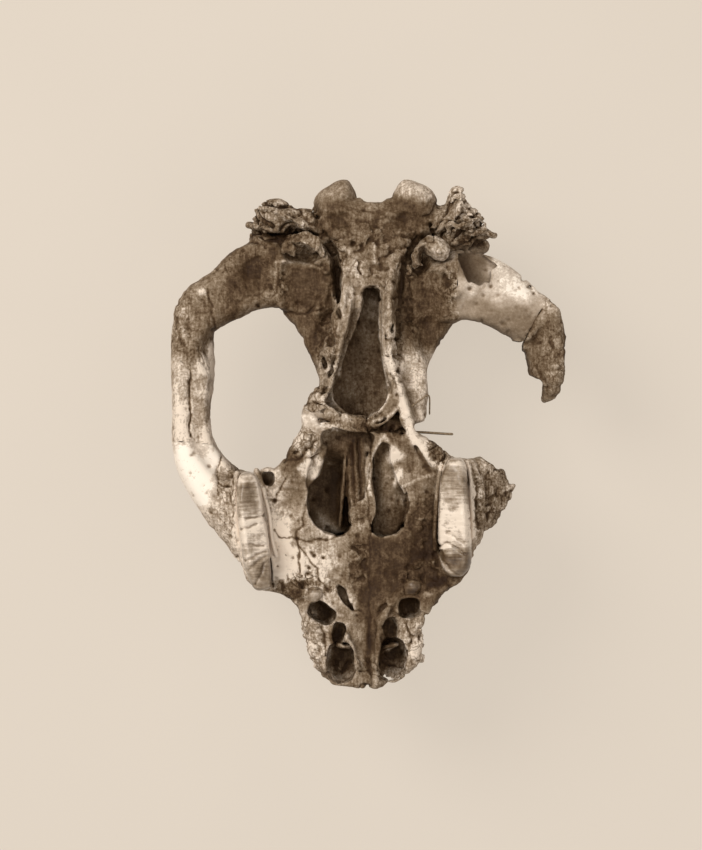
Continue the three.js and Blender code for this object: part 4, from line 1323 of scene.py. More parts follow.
def own_clay(forms, step, blend=1.0):
    low = np.min([form.low for form in forms], 0) - 2
    high = np.max([form.high for form in forms], 0) + 2
    return Clay(low, high, step).add(*forms, blend=blend)


def blade_clay(side):
    clay = own_clay([Blade(side)], 0.4)
    for line in FOLDS[side]:
        clay.groove(line, width=0.7, depth=0.8, above=90, ragged=0.5)
    clay.field += clay.noises(31, (0.2, (7, 1.5, 7)), (0.12, (4, 0.8, 4)))
    clay.field += 0.3 * clay.noise(6, 33)
    return clay


def peg_clay(side):
    clay = own_clay([Egg(PEGS[side], [4.1, 3.6, 4], 20)], 0.35)
    clay.field += clay.noises(34, (0.6, 3.4), (0.25, 1.2))
    return clay


def ear_clay(side):
    clay = own_clay([Egg(*row) for row in EARS[side]], 0.4, blend=2)
    if side == "left":
        rim = [[-40.6, 85.6, 76, 1.6, 2.4], [-38, 89.4, 78, 2, 2.6], [-33, 91.8, 80, 2.3, 2.8],
               [-28, 91.2, 80.4, 2.4, 2.8], [-24, 88.6, 79, 2, 2.6], [-22.4, 84.4, 77, 1.5, 2.2]]
        clay.add(Rod(rim), blend=1)
        clay.add(Egg([-36, 86, 77], [2.8, 3, 4]), Egg([-25.4, 87.6, 79], [2.8, 2.6, 4]), blend=1)
        mouth = Egg([-29.6, 82.8, 78], [4.8, 6, 11], 12)
        clay.cut(mouth, Egg([-37.6, 82.6, 80], [2, 2.6, 5]), blend=0.8)
    else:
        arch = [[26.4, 89.6, 79, 1, 2], [22.6, 87, 79, 1.1, 2], [20.9, 83.2, 78, 1.1, 2],
                [22.2, 80.2, 78, 1, 2], [25.6, 79, 77, 0.9, 2]]
        clay.add(Rod(arch), blend=1)
        clay.cut(Egg([25, 83.6, 80], [2, 3.6, 6], -10), Egg([34, 80.4, 81], [3, 2, 3]), blend=1)
    clay.field += clay.noises(36, (0.6, 4), (0.35, 1.8))
    creases = clay.noises(38, (1, 5), (0.4, 2))
    clay.field += 0.8 * np.exp(-((creases / 0.12) ** 2))
    return clay


def wire_clay(name):
    return own_clay([Rod(WIRES[name], spans=10)], 0.22 if name == "long" else 0.14)


def loose_parts():
    """Yields the name and the clay of each part that lies in the bone."""
    for side in ("left", "right"):
        yield "premolar_" + side, blade_clay(side)
        yield "peg_" + side, peg_clay(side)
        yield "tympanic_" + side, ear_clay(side)
    for name in WIRES:
        yield "wire_" + name, wire_clay(name)


def tooth_gaps(clay):
    """Rims of bone beside the blades, and the sockets, in which the teeth sit tight."""
    clay.add(*[Rod(rings) for rings in BLADE_RIMS], blend=1.5)
    for side in ("left", "right"):
        clay.cut(Blade(side, grow=-0.4), blend=0.3)
        clay.cut(Egg(PEGS[side], [3.4, 2.9, 3.4], 20), blend=0.3)


# ---------------------------------------------------------------- shades of the bone
# The general shade of each place, seen from the palate side: [x, y, reach, shade], 0 dark, 1 pale.
# It mixes the bone's own tone with painted light and shade, as marked below.
SHADES = {
    "condyles": [[-19, 114, 4.4, 0.54], [-11, 115, 4, 0.46], [18, 115, 4.4, 0.8],
        [26.4, 113, 3.6, 0.86]],
    # painted shade under the condyles
    "under the condyles": [[-17, 104.6, 4.6, 0.22], [-25, 104, 4, 0.4], [3, 104, 6, 0.42],
        [19, 104.6, 4.8, 0.18], [11, 109, 3, 0.3], [25.6, 106, 3.4, 0.22], [33, 103, 5, 0.42],
        [-5, 98, 7, 0.32], [8, 98, 7, 0.3], [-19, 97, 6, 0.3], [23, 96, 6, 0.3]],
    "base": [[-12, 88, 4, 0.36], [0, 88, 7, 0.42], [11, 88, 5, 0.42], [21, 91, 6, 0.36],
        [18, 80, 4, 0.32], [-20, 88, 5, 0.38], [-5, 77, 4, 0.66], [-11, 68, 4, 0.6],
        [4, 76, 5, 0.45], [11, 75, 4, 0.46], [9, 69, 3, 0.62]],
    # its darkest row, at y 93, is painted shade under the mastoid
    "left mastoid": [[-50, 104, 6, 0.42], [-44, 108, 6, 0.38], [-34, 103, 6, 0.42],
        [-42, 93, 5, 0.22], [-51, 95, 5, 0.36], [-28, 97, 5, 0.42]],
    "right mastoid": [[43, 110, 6, 0.66], [36, 99, 6, 0.42], [41, 97, 4, 0.3], [48, 102, 5, 0.7],
        [55, 98, 5, 0.52], [44, 91, 5, 0.4], [53, 90, 5, 0.4], [59, 93, 3, 0.45]],
    "ears": [[-36, 86, 4, 0.35], [-27, 87, 4, 0.48], [24, 84, 4, 0.3], [33, 86, 5, 0.64]],
    # its two darkest rows are painted shade in the hollow of the jaw joint
    "left arch": [[-42, 87, 4, 0.12], [-52, 86, 5, 0.36], [-65, 77, 5, 0.38], [-57, 71, 8, 0.13],
        [-47, 66, 4, 0.42], [-70, 65, 7, 0.42], [-58, 60, 6, 0.42], [-80, 63, 7, 0.5],
        [-88, 52, 5, 0.7], [-80, 50, 6, 0.4], [-84, 41, 6, 0.45], [-42, 75, 4, 0.34]],
    "left wing": [[-31, 67, 8, 0.21], [-21, 70, 5, 0.22], [-33, 54, 7, 0.32], [-21, 50, 5, 0.32],
        [-25, 38, 6, 0.42]],
    "left crest": [[-12, 60, 4, 0.54], [-13, 48, 4, 0.48], [-17.6, 33, 4, 0.58], [-21, 23, 4, 0.5],
        [-27, 15, 5, 0.6], [-20, 15, 3.6, 0.66]],
    "throat": [[1, 61, 4, 0.6], [-3, 42, 6, 0.42], [-6, 24, 7, 0.4], [2, 24, 6, 0.32]],
    # its palest rows are painted light on the crest's lit face
    "right crest": [[11, 60, 3, 0.48], [8, 46, 4, 0.68], [11, 32, 4, 1.0], [14, 22, 3.4, 0.8],
        [18, 12, 3.4, 0.7], [21, 1, 3, 0.7]],
    "right wing": [[24, 64, 9, 0.21], [35, 58, 6, 0.27], [26, 48, 6, 0.22], [18, 42, 4, 0.5],
        [22, 30, 7, 0.8], [24, 16, 6, 0.76], [33, 72, 5, 0.4]],
    "right arch": [[41, 71, 3, 0.8], [42, 62, 3, 0.5], [42, 54, 4, 0.4], [48, 68, 4, 0.95],
        [48, 59, 5, 0.58], [57, 66, 5, 0.84], [60, 55, 6, 0.44], [70, 55, 6, 0.46],
        [69, 67, 6, 0.96], [61, 79, 7, 1.0], [79, 60, 4, 0.7], [75, 52, 4, 0.34],
        [51, 77, 6, 0.32], [55.4, 82, 3, 0.2]],
    "hook": [[78, 46, 6, 0.46], [87, 50, 5, 0.38], [80, 34, 6, 0.32], [90, 34, 4, 0.56],
        [84, 22, 6, 0.34]],
    "left cheek": [[-89, 30, 4, 0.8], [-88, 10, 6, 0.96], [-79, 24, 5, 0.74], [-80, 10, 6, 0.58],
        [-80, -3, 5, 0.9], [-75.5, 38, 3, 1.2], [-75, 32, 5, 1.2], [-75, 20, 4, 1.05],
        [-85, -4, 7, 1.0], [-76, 0, 5, 1.0], [-82, -18, 9, 1.08], [-71, -12, 4, 1.12]],
    "left jaw": [[-65, -17, 5, 0.65], [-66, -32, 6, 0.74], [-62, -48, 7, 0.84],
        [-34, -13, 4, 0.14], [-27, -6, 4, 0.85], [-27, 2, 3, 0.5], [-29, 6, 5, 0.94],
        [-39, -18, 5, 0.66], [-33, -29, 5, 0.52], [-43, -33, 6, 0.98], [-44, -40, 4, 1.5],
        [-43, -49, 4, 1.9], [-41, -57, 5, 1.9], [-43, -64, 4, 1.6], [-36, -65, 4, 1.3],
        [-45, -71, 5, 0.62], [-36, -72, 5, 0.52]],
    "left palate": [[-31, -47, 4, 0.66], [-22, -50, 6, 0.74], [-31, -60, 6, 1.25],
        [-19, -62, 6, 1.0], [-10, -57, 5, 0.5], [-23, -68, 5, 0.98], [-15, -77, 5, 0.74],
        [-10, -67, 4, 0.48]],
    "right palate": [[-3, -55, 4, 0.3], [8, -52, 7, 0.16], [22, -52, 8, 0.18], [4, -68, 7, 0.12],
        [20, -66, 8, 0.14], [31, -66, 6, 0.18], [32, -78, 7, 0.24], [-4, -67, 3, 0.24]],
    "right jaw": [[19, -17, 5, 0.5], [16, -5, 4, 0.34], [34, -28, 3, 0.2], [29, -24, 6, 0.45],
        [20, -29, 5, 0.56], [28, -41, 6, 0.26], [16, -45, 4, 0.26], [49, -18, 4, 0.62],
        [49, -28, 3, 1.1], [48.6, -36, 3, 1.3], [48.6, -45, 3, 1.3], [57, -26, 6, 0.42],
        [65, -28, 5, 0.46], [57, -42, 6, 0.42], [31, -9, 4, 0.3], [37, -13, 4, 0.7]],
    # its dark rows are painted shade on the shelf and the deep floor of the left window
    "left window": [[-25, -1, 4, 0.66], [-17, -6, 6, 0.26], [-23.6, -11.6, 2.4, 1.05],
        [-26.4, -18, 2, 1.0], [-19, -30, 6, 0.18], [-14, -40, 4, 0.12], [-12, -28, 4, 0.22]],
    # its darkest row, at y -8, is painted shade beneath the bridge
    "plates": [[-12, -30, 2, 0.32], [-6, -8, 4, 0.16], [-5, -20, 4, 0.32], [2, -3, 3, 0.32],
        [-5, -33, 4, 0.46], [-3, -44, 4, 0.52]],
    "right window": [[5, -9, 4, 0.36], [8, -20, 5, 0.42], [9, -32, 5, 0.4], [9, -43, 5, 0.34],
        [12, -10, 2.6, 1.1], [14.6, -19, 2, 0.95]],
    # its dark rows at y 1.6 and 3 are painted shade beneath the bridge
    "bridge": [[-14, 7, 4, 0.48], [-3, 5, 4, 0.36], [7, 9, 4, 0.42], [13, 3, 3.6, 0.2],
        [5, 1.6, 3, 0.34], [24, -4, 3, 0.95]],
    # its dark rows are painted shade in the tooth sockets
    "sockets": [[-13, -107, 4, 0.1], [11, -105, 4, 0.12], [-14, -93.4, 2.4, 0.1],
        [10, -92, 2, 0.2], [-22.3, -83.8, 3.2, 0.1], [18.6, -81.6, 3, 0.16],
        [-47.4, -21.2, 2, 0.2], [-43, -19, 3, 0.9], [-18, -79, 3, 0.9]],
    "left snout": [[-34, -80, 5, 0.5], [-27, -90, 5, 0.72], [-26, -103, 5, 0.84],
        [-13, -84, 4, 0.56], [-6, -93, 4, 0.66], [-4, -103, 4, 0.5], [-18, -112, 5, 0.44]],
    "right snout": [[2, -84, 4, 0.26], [2, -97, 4, 0.22], [10, -79, 5, 0.32], [19, -90, 5, 0.62],
        [23, -99, 5, 0.9], [19, -111, 5, 0.58], [0, -115, 5, 0.42], [25, -84, 4, 0.62]],
}
TOOTH_SHADES = {
    "left premolar": [[-57, -21.6, 3, 0.85], [-56, -30, 4, 0.4], [-50, -28, 3, 0.85],
        [-55, -38, 5, 0.74], [-49.6, -42, 3, 1.05], [-54, -45, 5, 0.96], [-53, -56, 4, 0.86],
        [-49, -62, 4, 0.5]],
    "right premolar": [[40, -14, 4, 0.9], [40, -21, 4, 0.44], [39, -29, 4, 0.74],
        [39, -40, 6, 1.12], [40, -50, 4, 0.9], [40, -60, 5, 0.28]],
    "pegs": [[-26, -75, 5, 0.48], [20, -72, 5, 0.2]],
    "ears": [[-37, 86, 4, 0.36], [-30, 84, 3, 0.26], [-26, 89, 4, 0.56], [-33, 91, 4, 0.6],
        [23, 84, 5, 0.42], [33, 87, 6, 0.66]],
}
# Small bleached or filled places, and darker ones, stains and painted shadow: [x, y, half width,
# half length, turn, amount]
BLEACHED = [
    [36, -62, 6, 3, 30, 0.2], [16, -66, 7, 2, -30, 0.16], [28, -74, 5, 2, -30, 0.2],
    [9, -102.4, 3, 0.9, -25, 0.9], [27, -61, 6, 2.4, -30, 0.25], [11, -58, 5, 2, 20, 0.14],
    [24, -41, 4, 2, -30, 0.2], [-9.6, 65, 2.4, 4, 0, 0.3], [-79.5, 66.5, 2.6, 1.2, 0, 0.4],
    [10.4, 34, 1.6, 16, 8, 0.2], [-13.6, 28.7, 1, 2.4, 0, 0.8], [11.6, -9, 1.8, 5, 10, 0.5],
    [7.4, -2, 1.4, 2.6, -40, 0.5], [13.6, -21, 1.1, 5, 20, 0.6], [-30, 89.4, 6, 2.4, 0, 0.2],
]
STAINS_AND_PAINTED_SHADOW = [
    # painted shadow under the mastoids in the rows at y 90 to 94, and beside the right premolar at
    # x 31
    [92.6, 44, 1, 18, 0, 0.4], [-41, 92, 12, 2.4, 8, 0.3], [47, 90.4, 12, 2.2, -6, 0.15],
    [31, -44, 2.4, 14, 0, 0.25], [27, -58, 7, 3, 30, 0.2], [31, -70, 6, 3, -25, 0.3],
    [-20, 94, 8, 1.8, -40, 0.2], [-33, -74, 8, 3, -35, 0.35], [28, 91, 6, 1.8, 30, 0.3],
    [-0.6, -100, 1.6, 16, 0, 0.3], [-64, 56, 3, 6, 30, 0.2], [-27, 40, 3, 14, 18, 0.2],
    [-90, 52, 1.2, 10, -12, 0.3],
]

# Thin edges and seams, paler or darker than the bone beside them, some of them painted highlight
# and painted shade as marked: (amount, half width, line)
EDGES = [
    # right crest with a painted highlight on its lit face, painted shade in the cleft in front of
    # it, and the rims of the right window
    (0.7, 1.6, [[15.4, 15.4], [18.2, 3.7], [21, -3.3], [24.3, -8.9], [28.5, -13.1],
     [33.6, -15.4]]),
    (-0.2, 1.3, [[22, -7], [26, -13], [28.4, -18.4]]),
    (0.5, 0.7, [[5.6, -2.3], [2.3, -8.9], [0.5, -13.5], [0, -22], [0.9, -29]]),
    (0.3, 0.8, [[1.4, -46.7], [7.5, -48.6], [13.5, -47.2], [16.8, -43]]),
    (0.35, 0.9, [[15.9, -25.2], [20, -22.9], [24.8, -21], [30.4, -19.1]]),
    # rims of bone along the premolars, with painted shade in the gap between the right premolar and
    # its outer rim
    (0.22, 0.7, [[31.3, -22], [30.8, -36], [30.4, -47.6], [32.2, -55.6], [35, -63]]),
    (0.4, 0.9, [[45.3, -13.5], [47.6, -22], [48.1, -31.3], [47.6, -40.6], [47.2, -50]]),
    (-0.2, 0.6, [[46, -17], [46.4, -34], [46.4, -50]]),
    (0.35, 0.9, [[-52.8, -21], [-50, -29], [-48.1, -38.3], [-46.2, -50], [-44.4, -59.3]]),
    (0.3, 0.8, [[-60.7, -22], [-61.6, -31.3], [-61.2, -40.6], [-59.3, -52.3]]),
    # bridge, with painted shade in the recess before it
    (0.35, 0.7, [[14.5, 14.5], [11.7, 9.8], [7.9, 7], [3.3, 5.6], [-1.4, 4.2]]),
    (0.35, 0.7, [[8.9, 17.7], [6.5, 12.6], [2.8, 8.9], [-1, 7]]),
    (0.3, 1.2, [[-19, 9.8], [-13.5, 8], [-8, 6]]),
    (0.5, 0.8, [[-22, 4.2], [-18.2, 3.3], [-15.4, 2.3]]),
    (-0.1, 1.8, [[-8, 1.4], [0, 1.2], [8, 2.4], [14, 4.6]]),
    # plates in the windows
    (0.25, 0.9, [[-1.4, -6], [-0.9, -20], [-1, -31]]),
    (-0.25, 0.9, [[-7.6, -4], [-7.4, -18], [-6.6, -27]]),
    # joint of the left cheek arch, and its seams
    (0.25, 0.8, [[-43.4, 80.8], [-36.9, 81.3], [-29.4, 79.9], [-22.4, 77]]),
    (0.06, 2.4, [[-44, 79], [-45.8, 71.5], [-46.2, 64.4]]),
    (-0.3, 0.6, [[-42.5, 80], [-42, 73.8], [-43, 66.8]]),
    # base of the braincase
    (0.25, 0.6, [[2.3, 90], [2.8, 80]]),
    (-0.2, 0.9, [[4.4, 90], [4.6, 81]]),
    (0.2, 1, [[-12.1, 87.3], [-8, 83.6], [-6, 79.8], [-5.6, 74]]),
    (0.25, 0.7, [[13.5, 80], [14, 73.8], [12.6, 67.7]]),
    (-0.12, 1.2, [[-12, 79], [-11, 70], [-9.4, 64]]),
    # broken front of the left jaw
    (-0.35, 1.3, [[-43.4, -67], [-40, -70.6], [-32.2, -69.6], [-22, -71]]),
]


def shade_at(x, y, table):
    """The shade at each place: the nearest rows count most, each within its reach."""
    total, weights = np.full(len(x), 0.45e-6), np.full(len(x), 1e-6)  # 0.45 where none reaches
    for rows in table.values():
        for sx, sy, reach, shade in rows:
            weight = np.exp(-np.minimum(((x - sx) ** 2 + (y - sy) ** 2) / reach**2, 40))
            total += weight * shade
            weights += weight
    return total / weights


def blots(spots, x, y):
    """Soft-edged oval spots, each turned by some degrees, added together."""
    made = np.zeros(len(x))
    for sx, sy, wide, long, turn, amount in spots:
        c, s = math.cos(math.radians(turn)), math.sin(math.radians(turn))
        across, along = (x - sx) * c - (y - sy) * s, (x - sx) * s + (y - sy) * c
        made += amount * (1 - ramp(np.hypot(across / wide, along / long), 0.3, 1.4))
    return made


def drawn(lines, x, y):
    """Soft-edged lines, each with an amount and a half width, added together."""
    made = np.zeros(len(x))
    for amount, wide, line in lines:
        low, high = np.min(line, 0) - 4 * wide, np.max(line, 0) + 4 * wide
        near = (x > low[0]) & (x < high[0]) & (y > low[1]) & (y < high[1])
        if near.any():
            made[near] += amount * np.exp(-((path_distance(line, x[near], y[near]) / wide) ** 2))
    return made


def wander(clay):
    """How far a shade's border strays at each place in x and in y."""
    return [clay.noises(seed, (2.6, 13), (1.5, 5), (0.8, 2.2)) for seed in (51, 61)]


def near_crack(x, y):
    """Up to 1 on the cracks and the small holes, and 0 from a millimetre away; the darkening it
    gives the small holes is painted shade.
    """
    holes = [(0.8, 0.7 * size, [[hx, hy], [hx + 0.1, hy]]) for hx, hy, size in FORAMINA]
    depth = 0.7 + 0.3 * ripple(0.7 * y, 0.9 * x)
    marks = depth * drawn([(1, 0.4, line) for line in CRACKS.values()], *strayed(x, y, RAGGED))
    return np.clip(marks + drawn(holes, x, y), 0, 1)


MIDDLE_SHADE = 0.46  # of the sides and the roof, which the photograph doesn't show


def weather(piece, points, clay, curves, drift, table=SHADES):
    """Stores each vertex's shade, and how rough, cracked, sharp and hollow the bone is there, which
    the materials turn into a painted highlight on sharp places and painted shade and dirt in hollow
    ones.
    """
    bend = sum(clay.sample(curve, points) * share for curve, share in zip(curves, (1, 0.3)))
    x, y, z = points.T
    above = ramp(z, 34, 58)
    stray_x, stray_y = [clay.sample(field, points) for field in drift]
    # the bone's tone, with painted light and shade laid in
    shade = shade_at(x + stray_x, y + stray_y, table)
    shade += blots(BLEACHED, x + 0.3 * stray_x, y + 0.3 * stray_y)
    # stains, and painted shadow under the mastoids and beside the right premolar
    shade -= blots(STAINS_AND_PAINTED_SHADOW, x + 0.5 * stray_x, y + 0.5 * stray_y)
    # pale rims and seams, with painted highlight on the right crest and painted shade in clefts and
    # gaps
    shade += drawn(EDGES, x + 0.25 * stray_x, y + 0.25 * stray_y)
    paint(
        piece,
        shade=MIDDLE_SHADE + (shade - MIDDLE_SHADE) * above,
        rough=np.maximum(spotted(CRUMPLED, x, y), spotted(POROUS, x, y)),
        crack=near_crack(x, y) * (z > FACES_UP),
        # ridge is read as a painted highlight, and hollow as painted shade and dirt
        ridge=np.clip(bend / 0.6, 0, 1),
        hollow=np.clip(-bend / 0.8, 0, 1),
    )


def curvature(clay, *sizes):
    """How far the mean distance round each place differs from its own: ridges over 0."""
    return [box_blur(clay.field, max(1, round(size / clay.step))) - clay.field for size in sizes]


# ---------------------------------------------------------------- materials
def fill(tree, made, inputs):
    """Links a node's inputs to other nodes' outputs, or sets them to constants."""
    for key, value in inputs.items():
        if isinstance(value, bpy.types.NodeSocket):
            tree.links.new(value, made.inputs[key])
        else:
            made.inputs[key].default_value = value


def node(tree, kind, inputs, **settings):
    made = tree.nodes.new("ShaderNode" + kind)
    for key, value in settings.items():
        setattr(made, key, value)
    fill(tree, made, inputs)
    return made


def blank(name):
    """A new material, its node tree and its shader."""
    made = bpy.data.materials.new(name)
    made.use_nodes = True
    return made, made.node_tree, made.node_tree.nodes["Principled BSDF"]


def plus(tree, value, factor, base):
    """value * factor + base"""
    made = node(tree, "Math", {0: value, 1: factor, 2: base}, operation="MULTIPLY_ADD")
    return made.outputs[0]


def times(tree, value, factor):
    return plus(tree, value, factor, 0.0)


def fitted(tree, value, start, end, low=0.0, high=1.0):
    """low where the value is at start or under, high at end or over, and even between."""
    inputs = {"Value": value, "From Min": start, "From Max": end, "To Min": low, "To Max": high}
    return node(tree, "MapRange", inputs).outputs[0]


def bumped(tree, height, strength, reach):
    inputs = {"Height": height, "Strength": strength, "Distance": reach}
    return node(tree, "Bump", inputs).outputs[0]


def place_in_part(tree):
    return node(tree, "TexCoord", {}).outputs["Object"]


def noise(tree, size, detail=4, rough=0.55, stretch=(1, 1, 1), twist=0.0):
    """Noise with features of about `size` millimetres, in the part's own frame."""
    scale = [s / (size * MM) for s in stretch]
    spread = node(tree, "Mapping", {"Vector": place_in_part(tree), "Scale": scale})
    inputs = {"Vector": spread.outputs[0], "Scale": 1.0, "Detail": detail, "Roughness": rough,
              "Distortion": twist}
    return node(tree, "TexNoise", inputs).outputs["Fac"]


def layer(tree, name):
    return node(tree, "Attribute", {}, attribute_name=name).outputs["Fac"]


def colours(tree, value, stops):
    made = node(tree, "ValToRGB", {"Fac": value})
    points = made.color_ramp.elements
    while len(points) < len(stops):
        points.new(0.5)
    for point, (place, shade) in zip(points, stops):
        point.position = place
        point.color = (*shade, 1)
    return made.outputs["Color"]


SEPIA = [
    (0.0, (0.026, 0.012, 0.005)),
    (0.15, (0.05, 0.027, 0.012)),
    (0.3, (0.105, 0.066, 0.036)),
    (0.45, (0.18, 0.129, 0.083)),
    (0.6, (0.275, 0.212, 0.152)),
    (0.75, (0.40, 0.325, 0.255)),
    (0.9, (0.57, 0.485, 0.405)),
    (1.0, (0.74, 0.64, 0.54)),
]


def mixed(tree, *shares):
    """Noises about zero, each times its share."""
    total = 0.0
    for value, share in shares:
        total = plus(tree, value, share, plus(tree, total, 1.0, -0.5 * share))
    return total


def weathered(tree, grain, ridge=0.16, hollow=-0.7, crack=-0.72):
    """The stored shade with a grain laid over it, a painted highlight on ridges, painted shade and
    dirt in hollows, and darker cracks.
    """
    shade = layer(tree, "shade")
    uneven = plus(tree, layer(tree, "rough"), 0.7, 0.95)
    uneven = times(tree, uneven, plus(tree, shade, 1.0, 0.3))
    tone = plus(tree, grain, uneven, shade)
    # painted highlight on ridges
    tone = plus(tree, layer(tree, "ridge"), ridge, tone)
    # painted shade and dirt in hollows, and darker cracks
    for name, share in (("hollow", hollow), ("crack", crack)):
        tone = times(tree, tone, plus(tree, layer(tree, name), share, 1.0))
    return tone


def cells(tree, size, kind, start, end, stray=0.0):
    """Voronoi pores or a net of fine cracks: 1 in them, 0 between."""
    place = place_in_part(tree)
    if stray:
        bent = node(tree, "TexNoise",
                    {"Vector": place, "Scale": 1 / (size * 1.4 * MM), "Detail": 2.0})
        shift = node(tree, "VectorMath", {0: bent.outputs["Color"], 1: (stray * MM,) * 3},
                     operation="MULTIPLY")
        place = node(tree, "VectorMath", {0: place, 1: shift.outputs[0]}).outputs[0]
    made = node(tree, "TexVoronoi", {"Vector": place, "Scale": 1 / (size * MM)}, feature=kind)
    return fitted(tree, made.outputs["Distance"], start, end, 1.0, 0.0)


def fossil(name, grain=1.0):
    """Mineralised bone: mottled, streaked, pitted, with a net of hairline cracks in places."""
    made, tree, shader = blank(name)
    clouds = noise(tree, 17, detail=6, rough=0.62, twist=0.5)
    mottle = noise(tree, 4.6, detail=6, rough=0.62)
    speckle = noise(tree, 1.1, rough=0.6)
    fibre = noise(tree, 2.4, detail=5, rough=0.62, stretch=(1.9, 0.35, 1.0), twist=0.3)
    tone = weathered(tree, mixed(tree, (clouds, 0.6 * grain), (mottle, 0.75 * grain),
                                 (speckle, 0.95 * grain), (fibre, 0.8 * grain)))
    # pores and hairline cracks, each in some places only, and stronger where the bone is rough
    some, others = noise(tree, 9, detail=3), noise(tree, 14, detail=3)
    pore = times(tree, cells(tree, 1.5, "F1", 0.12, 0.3), fitted(tree, some, 0.4, 0.6))
    pore = times(tree, pore, plus(tree, layer(tree, "rough"), 0.6, 0.4))
    net = cells(tree, 5, "DISTANCE_TO_EDGE", 0.0, 0.08, stray=6)
    net = times(tree, net, fitted(tree, others, 0.42, 0.54))
    net = times(tree, net, plus(tree, layer(tree, "rough"), 0.7, 0.3))
    for marks, share in ((pore, -0.6), (net, -0.55)):
        tone = times(tree, tone, plus(tree, marks, share, 1.0))
    height = plus(tree, mottle, 0.8, plus(tree, speckle, 0.5, times(tree, fibre, 0.6)))
    height = plus(tree, pore, -0.6, plus(tree, net, -0.5, height))
    relief_depth = plus(tree, layer(tree, "rough"), 0.5 * MM, 0.4 * MM)
    fill(tree, shader, {
        "Base Color": colours(tree, tone, SEPIA),
        "Roughness": fitted(tree, tone, 0.0, 1.0, 0.6, 0.9),
        "Specular IOR Level": 0.14,
        "Normal": bumped(tree, height, 0.8, relief_depth),
    })
    return made


def enamel():
    """Worn tooth: a hard glossy skin with fine lines across the blade, darker in its folds with
    painted shade and dirt.
    """
    made, tree, shader = blank("tooth_enamel")
    lines = noise(tree, 3.2, detail=5, rough=0.62, stretch=(0.3, 3.4, 0.5))
    clouds = noise(tree, 9, detail=5, rough=0.6)
    mottle = noise(tree, 2.6, detail=5, rough=0.6)
    grain = mixed(tree, (clouds, 1.3), (lines, 0.85), (mottle, 0.8))
    tone = weathered(tree, grain, ridge=0.2, hollow=-0.7, crack=0.0)
    fill(tree, shader, {
        "Base Color": colours(tree, tone, SEPIA),
        "Roughness": fitted(tree, mottle, 0.0, 1.0, 0.18, 0.5),
        "Normal": bumped(tree, plus(tree, lines, 0.8, mottle), 0.6, 0.16 * MM),
    })
    return made


def plaster():
    """Plaster fillings, near white where fresh, tinted to the bone elsewhere, with trowel marks."""
    made, tree, shader = blank("plaster_filling")
    clouds = noise(tree, 14, detail=6, rough=0.6, twist=0.6)
    mottle = noise(tree, 3, detail=5, rough=0.6)
    speckle = noise(tree, 1.1, rough=0.6)
    grain = mixed(tree, (clouds, 0.5), (mottle, 0.35), (speckle, 0.4))
    tone = weathered(tree, grain, ridge=0.06, hollow=-0.4, crack=0.0)
    stops = [*SEPIA[1:-1], (1.0, (0.76, 0.67, 0.575)), (1.0, (0.86, 0.78, 0.69))]
    fill(tree, shader, {
        "Base Color": colours(tree, tone, stops),
        "Roughness": 0.92,
        "Normal": bumped(tree, plus(tree, mottle, 0.7, clouds), 0.6, 0.3 * MM),
    })
    return made


def wire_metal():
    """Old brass wire, dulled and spotted."""
    made, tree, shader = blank("old_wire")
    spots = noise(tree, 1.2, rough=0.6)
    fill(tree, shader, {
        "Base Color": colours(tree, spots, [(0.3, (0.09, 0.06, 0.035)), (0.7, (0.34, 0.26, 0.17))]),
        "Metallic": 0.8,
        "Roughness": fitted(tree, spots, 0.0, 1.0, 0.3, 0.65),
    })
    return made


# ---------------------------------------------------------------- stage
FLOOR_SIZE = 3.0  # metres


def floor():
    """A pale card that glows a little, so that it stays even, as the print's background is."""
    bpy.ops.mesh.primitive_plane_add(size=FLOOR_SIZE, location=(0, 0, FLOOR))
    plane = bpy.context.object
    plane.name = "floor"
    made, tree, shader = blank("pale_card")
    stops = [(0.3, (0.135, 0.118, 0.10)), (0.7, (0.15, 0.131, 0.112))]
    fill(tree, shader, {
        "Base Color": colours(tree, noise(tree, 160, detail=3, rough=0.5), stops),
        "Roughness": 0.95,
        "Emission Color": (0.73, 0.645, 0.545, 1),
        "Emission Strength": 0.8,
    })
    plane.data.materials.append(made)


# Round lights: name, place, width in metres, watts
LIGHTS = [
    ("window", (-0.75, 0.55, 1.2), 0.8, 15),
    ("fill", (0.9, -0.6, 1.3), 1.2, 4),
    ("front", (0.0, 0.1, 2.3), 1.2, 8),
]
LIGHT_COLOUR = (1, 0.96, 0.9)
LIT = (0, 0, 0.05)  # where the lights point


def area_light(name, place, size, power):
    light = bpy.data.lights.new(name, "AREA")
    light.shape = "DISK"
    light.size = size
    light.energy = power
    light.color = LIGHT_COLOUR
    made = bpy.data.objects.new(name, light)
    bpy.context.scene.collection.objects.link(made)
    made.location = place
    aim = Vector([there - here for there, here in zip(LIT, place)])
    made.rotation_euler = aim.to_track_quat("-Z", "Y").to_euler()


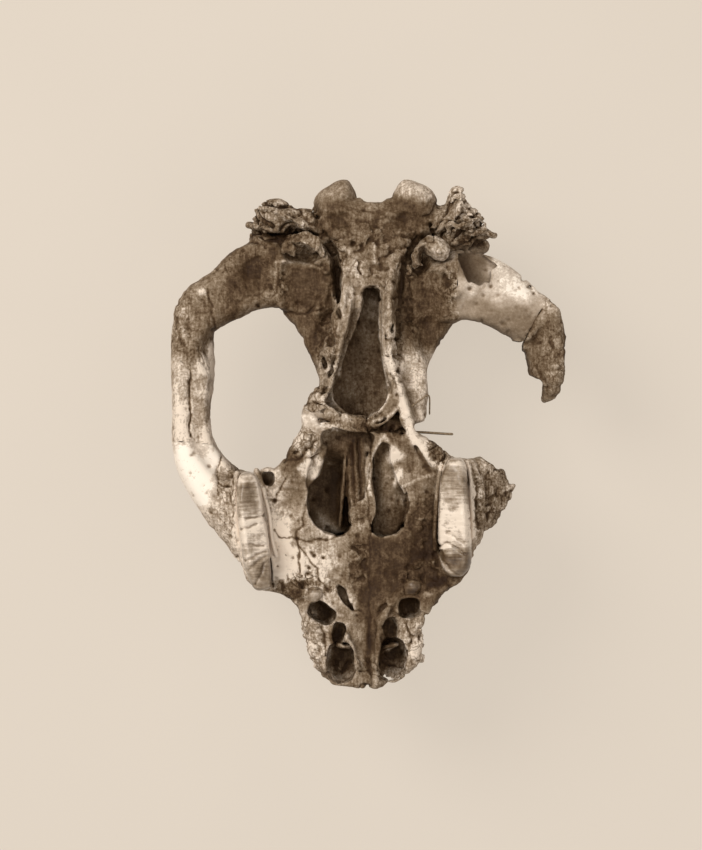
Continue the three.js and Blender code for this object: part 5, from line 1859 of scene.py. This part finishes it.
def lights():
    for row in LIGHTS:
        area_light(*row)
    world = bpy.data.worlds.new("studio")
    world.use_nodes = True
    back = world.node_tree.nodes["Background"]
    back.inputs["Color"].default_value = (0.86, 0.80, 0.73, 1)
    back.inputs["Strength"].default_value = 0.55
    bpy.context.scene.world = world
    bpy.context.scene.view_settings.view_transform = "Standard"


# The camera of the photograph: straight above the palate, far away, with a long lens
SENSOR = 36.0
CAMERA_RISE = 2000.0  # above the palate side
FRAME_LONG = 399.5  # mm of the skull's middle level along the picture's long side
MIDDLE = (-8.5, 3.8, 80.0)


def camera():
    lens = bpy.data.cameras.new("camera")
    lens.sensor_width = SENSOR
    lens.lens = SENSOR * CAMERA_RISE / FRAME_LONG
    made = bpy.data.objects.new("camera", lens)
    made.location = MM * (Vector(MIDDLE) + Vector((0, 0, CAMERA_RISE)))
    bpy.context.scene.collection.objects.link(made)
    bpy.context.scene.camera = made


# ---------------------------------------------------------------- making it
def sculpt():
    """The whole skull in one block of clay, still unparted."""
    clay = Clay(LOW, HIGH, STEP)
    for step in (braincase, condyles, mastoids, cheeks, face, throat_walls, openings, inside_nose,
                 sockets, ear_pits, cleft_plates, relief, cracks, tooth_gaps, keep_inside):
        step(clay)
    return clay


def finishes():
    return {
        "bone": fossil("fossil_bone"),
        "stained_bone": fossil("stained_bone", grain=1.15),
        "pale_bone": fossil("pale_bone", grain=0.9),
        "enamel": enamel(),
        "plaster": plaster(),
        "wire": wire_metal(),
    }


def main():
    camera()
    lights()
    floor()
    looks = finishes()
    slots = {row["node"]: row["material_slot"] for row in frame["record"]["subparts"]}
    clay = sculpt()
    curves, drift = curvature(clay, 1.5, 4), wander(clay)
    for name, field, seam, origin in parted(clay):
        points, quads = biggest_shell(*polygons(np.maximum(field, seam), origin, clay.step))
        points = sharpened(points, clay, Clay.holding(seam, origin, clay.step))
        piece = mesh_object(name + "_bone", points, quads)
        face_as_whole(piece, points, clay)
        weather(piece, points, clay, curves, drift)
        place(piece, name, slots[name], looks[slots[name]])
    for name, own in loose_parts():
        keep_inside(own)
        points, quads = biggest_shell(*polygons(own.field, own.low, own.step))
        piece = mesh_object(name + "_part", points, quads)
        weather(piece, points, own, curvature(own, 0.8, 2), wander(own), TOOTH_SHADES)
        place(piece, name, slots[name], looks[slots[name]])


main()
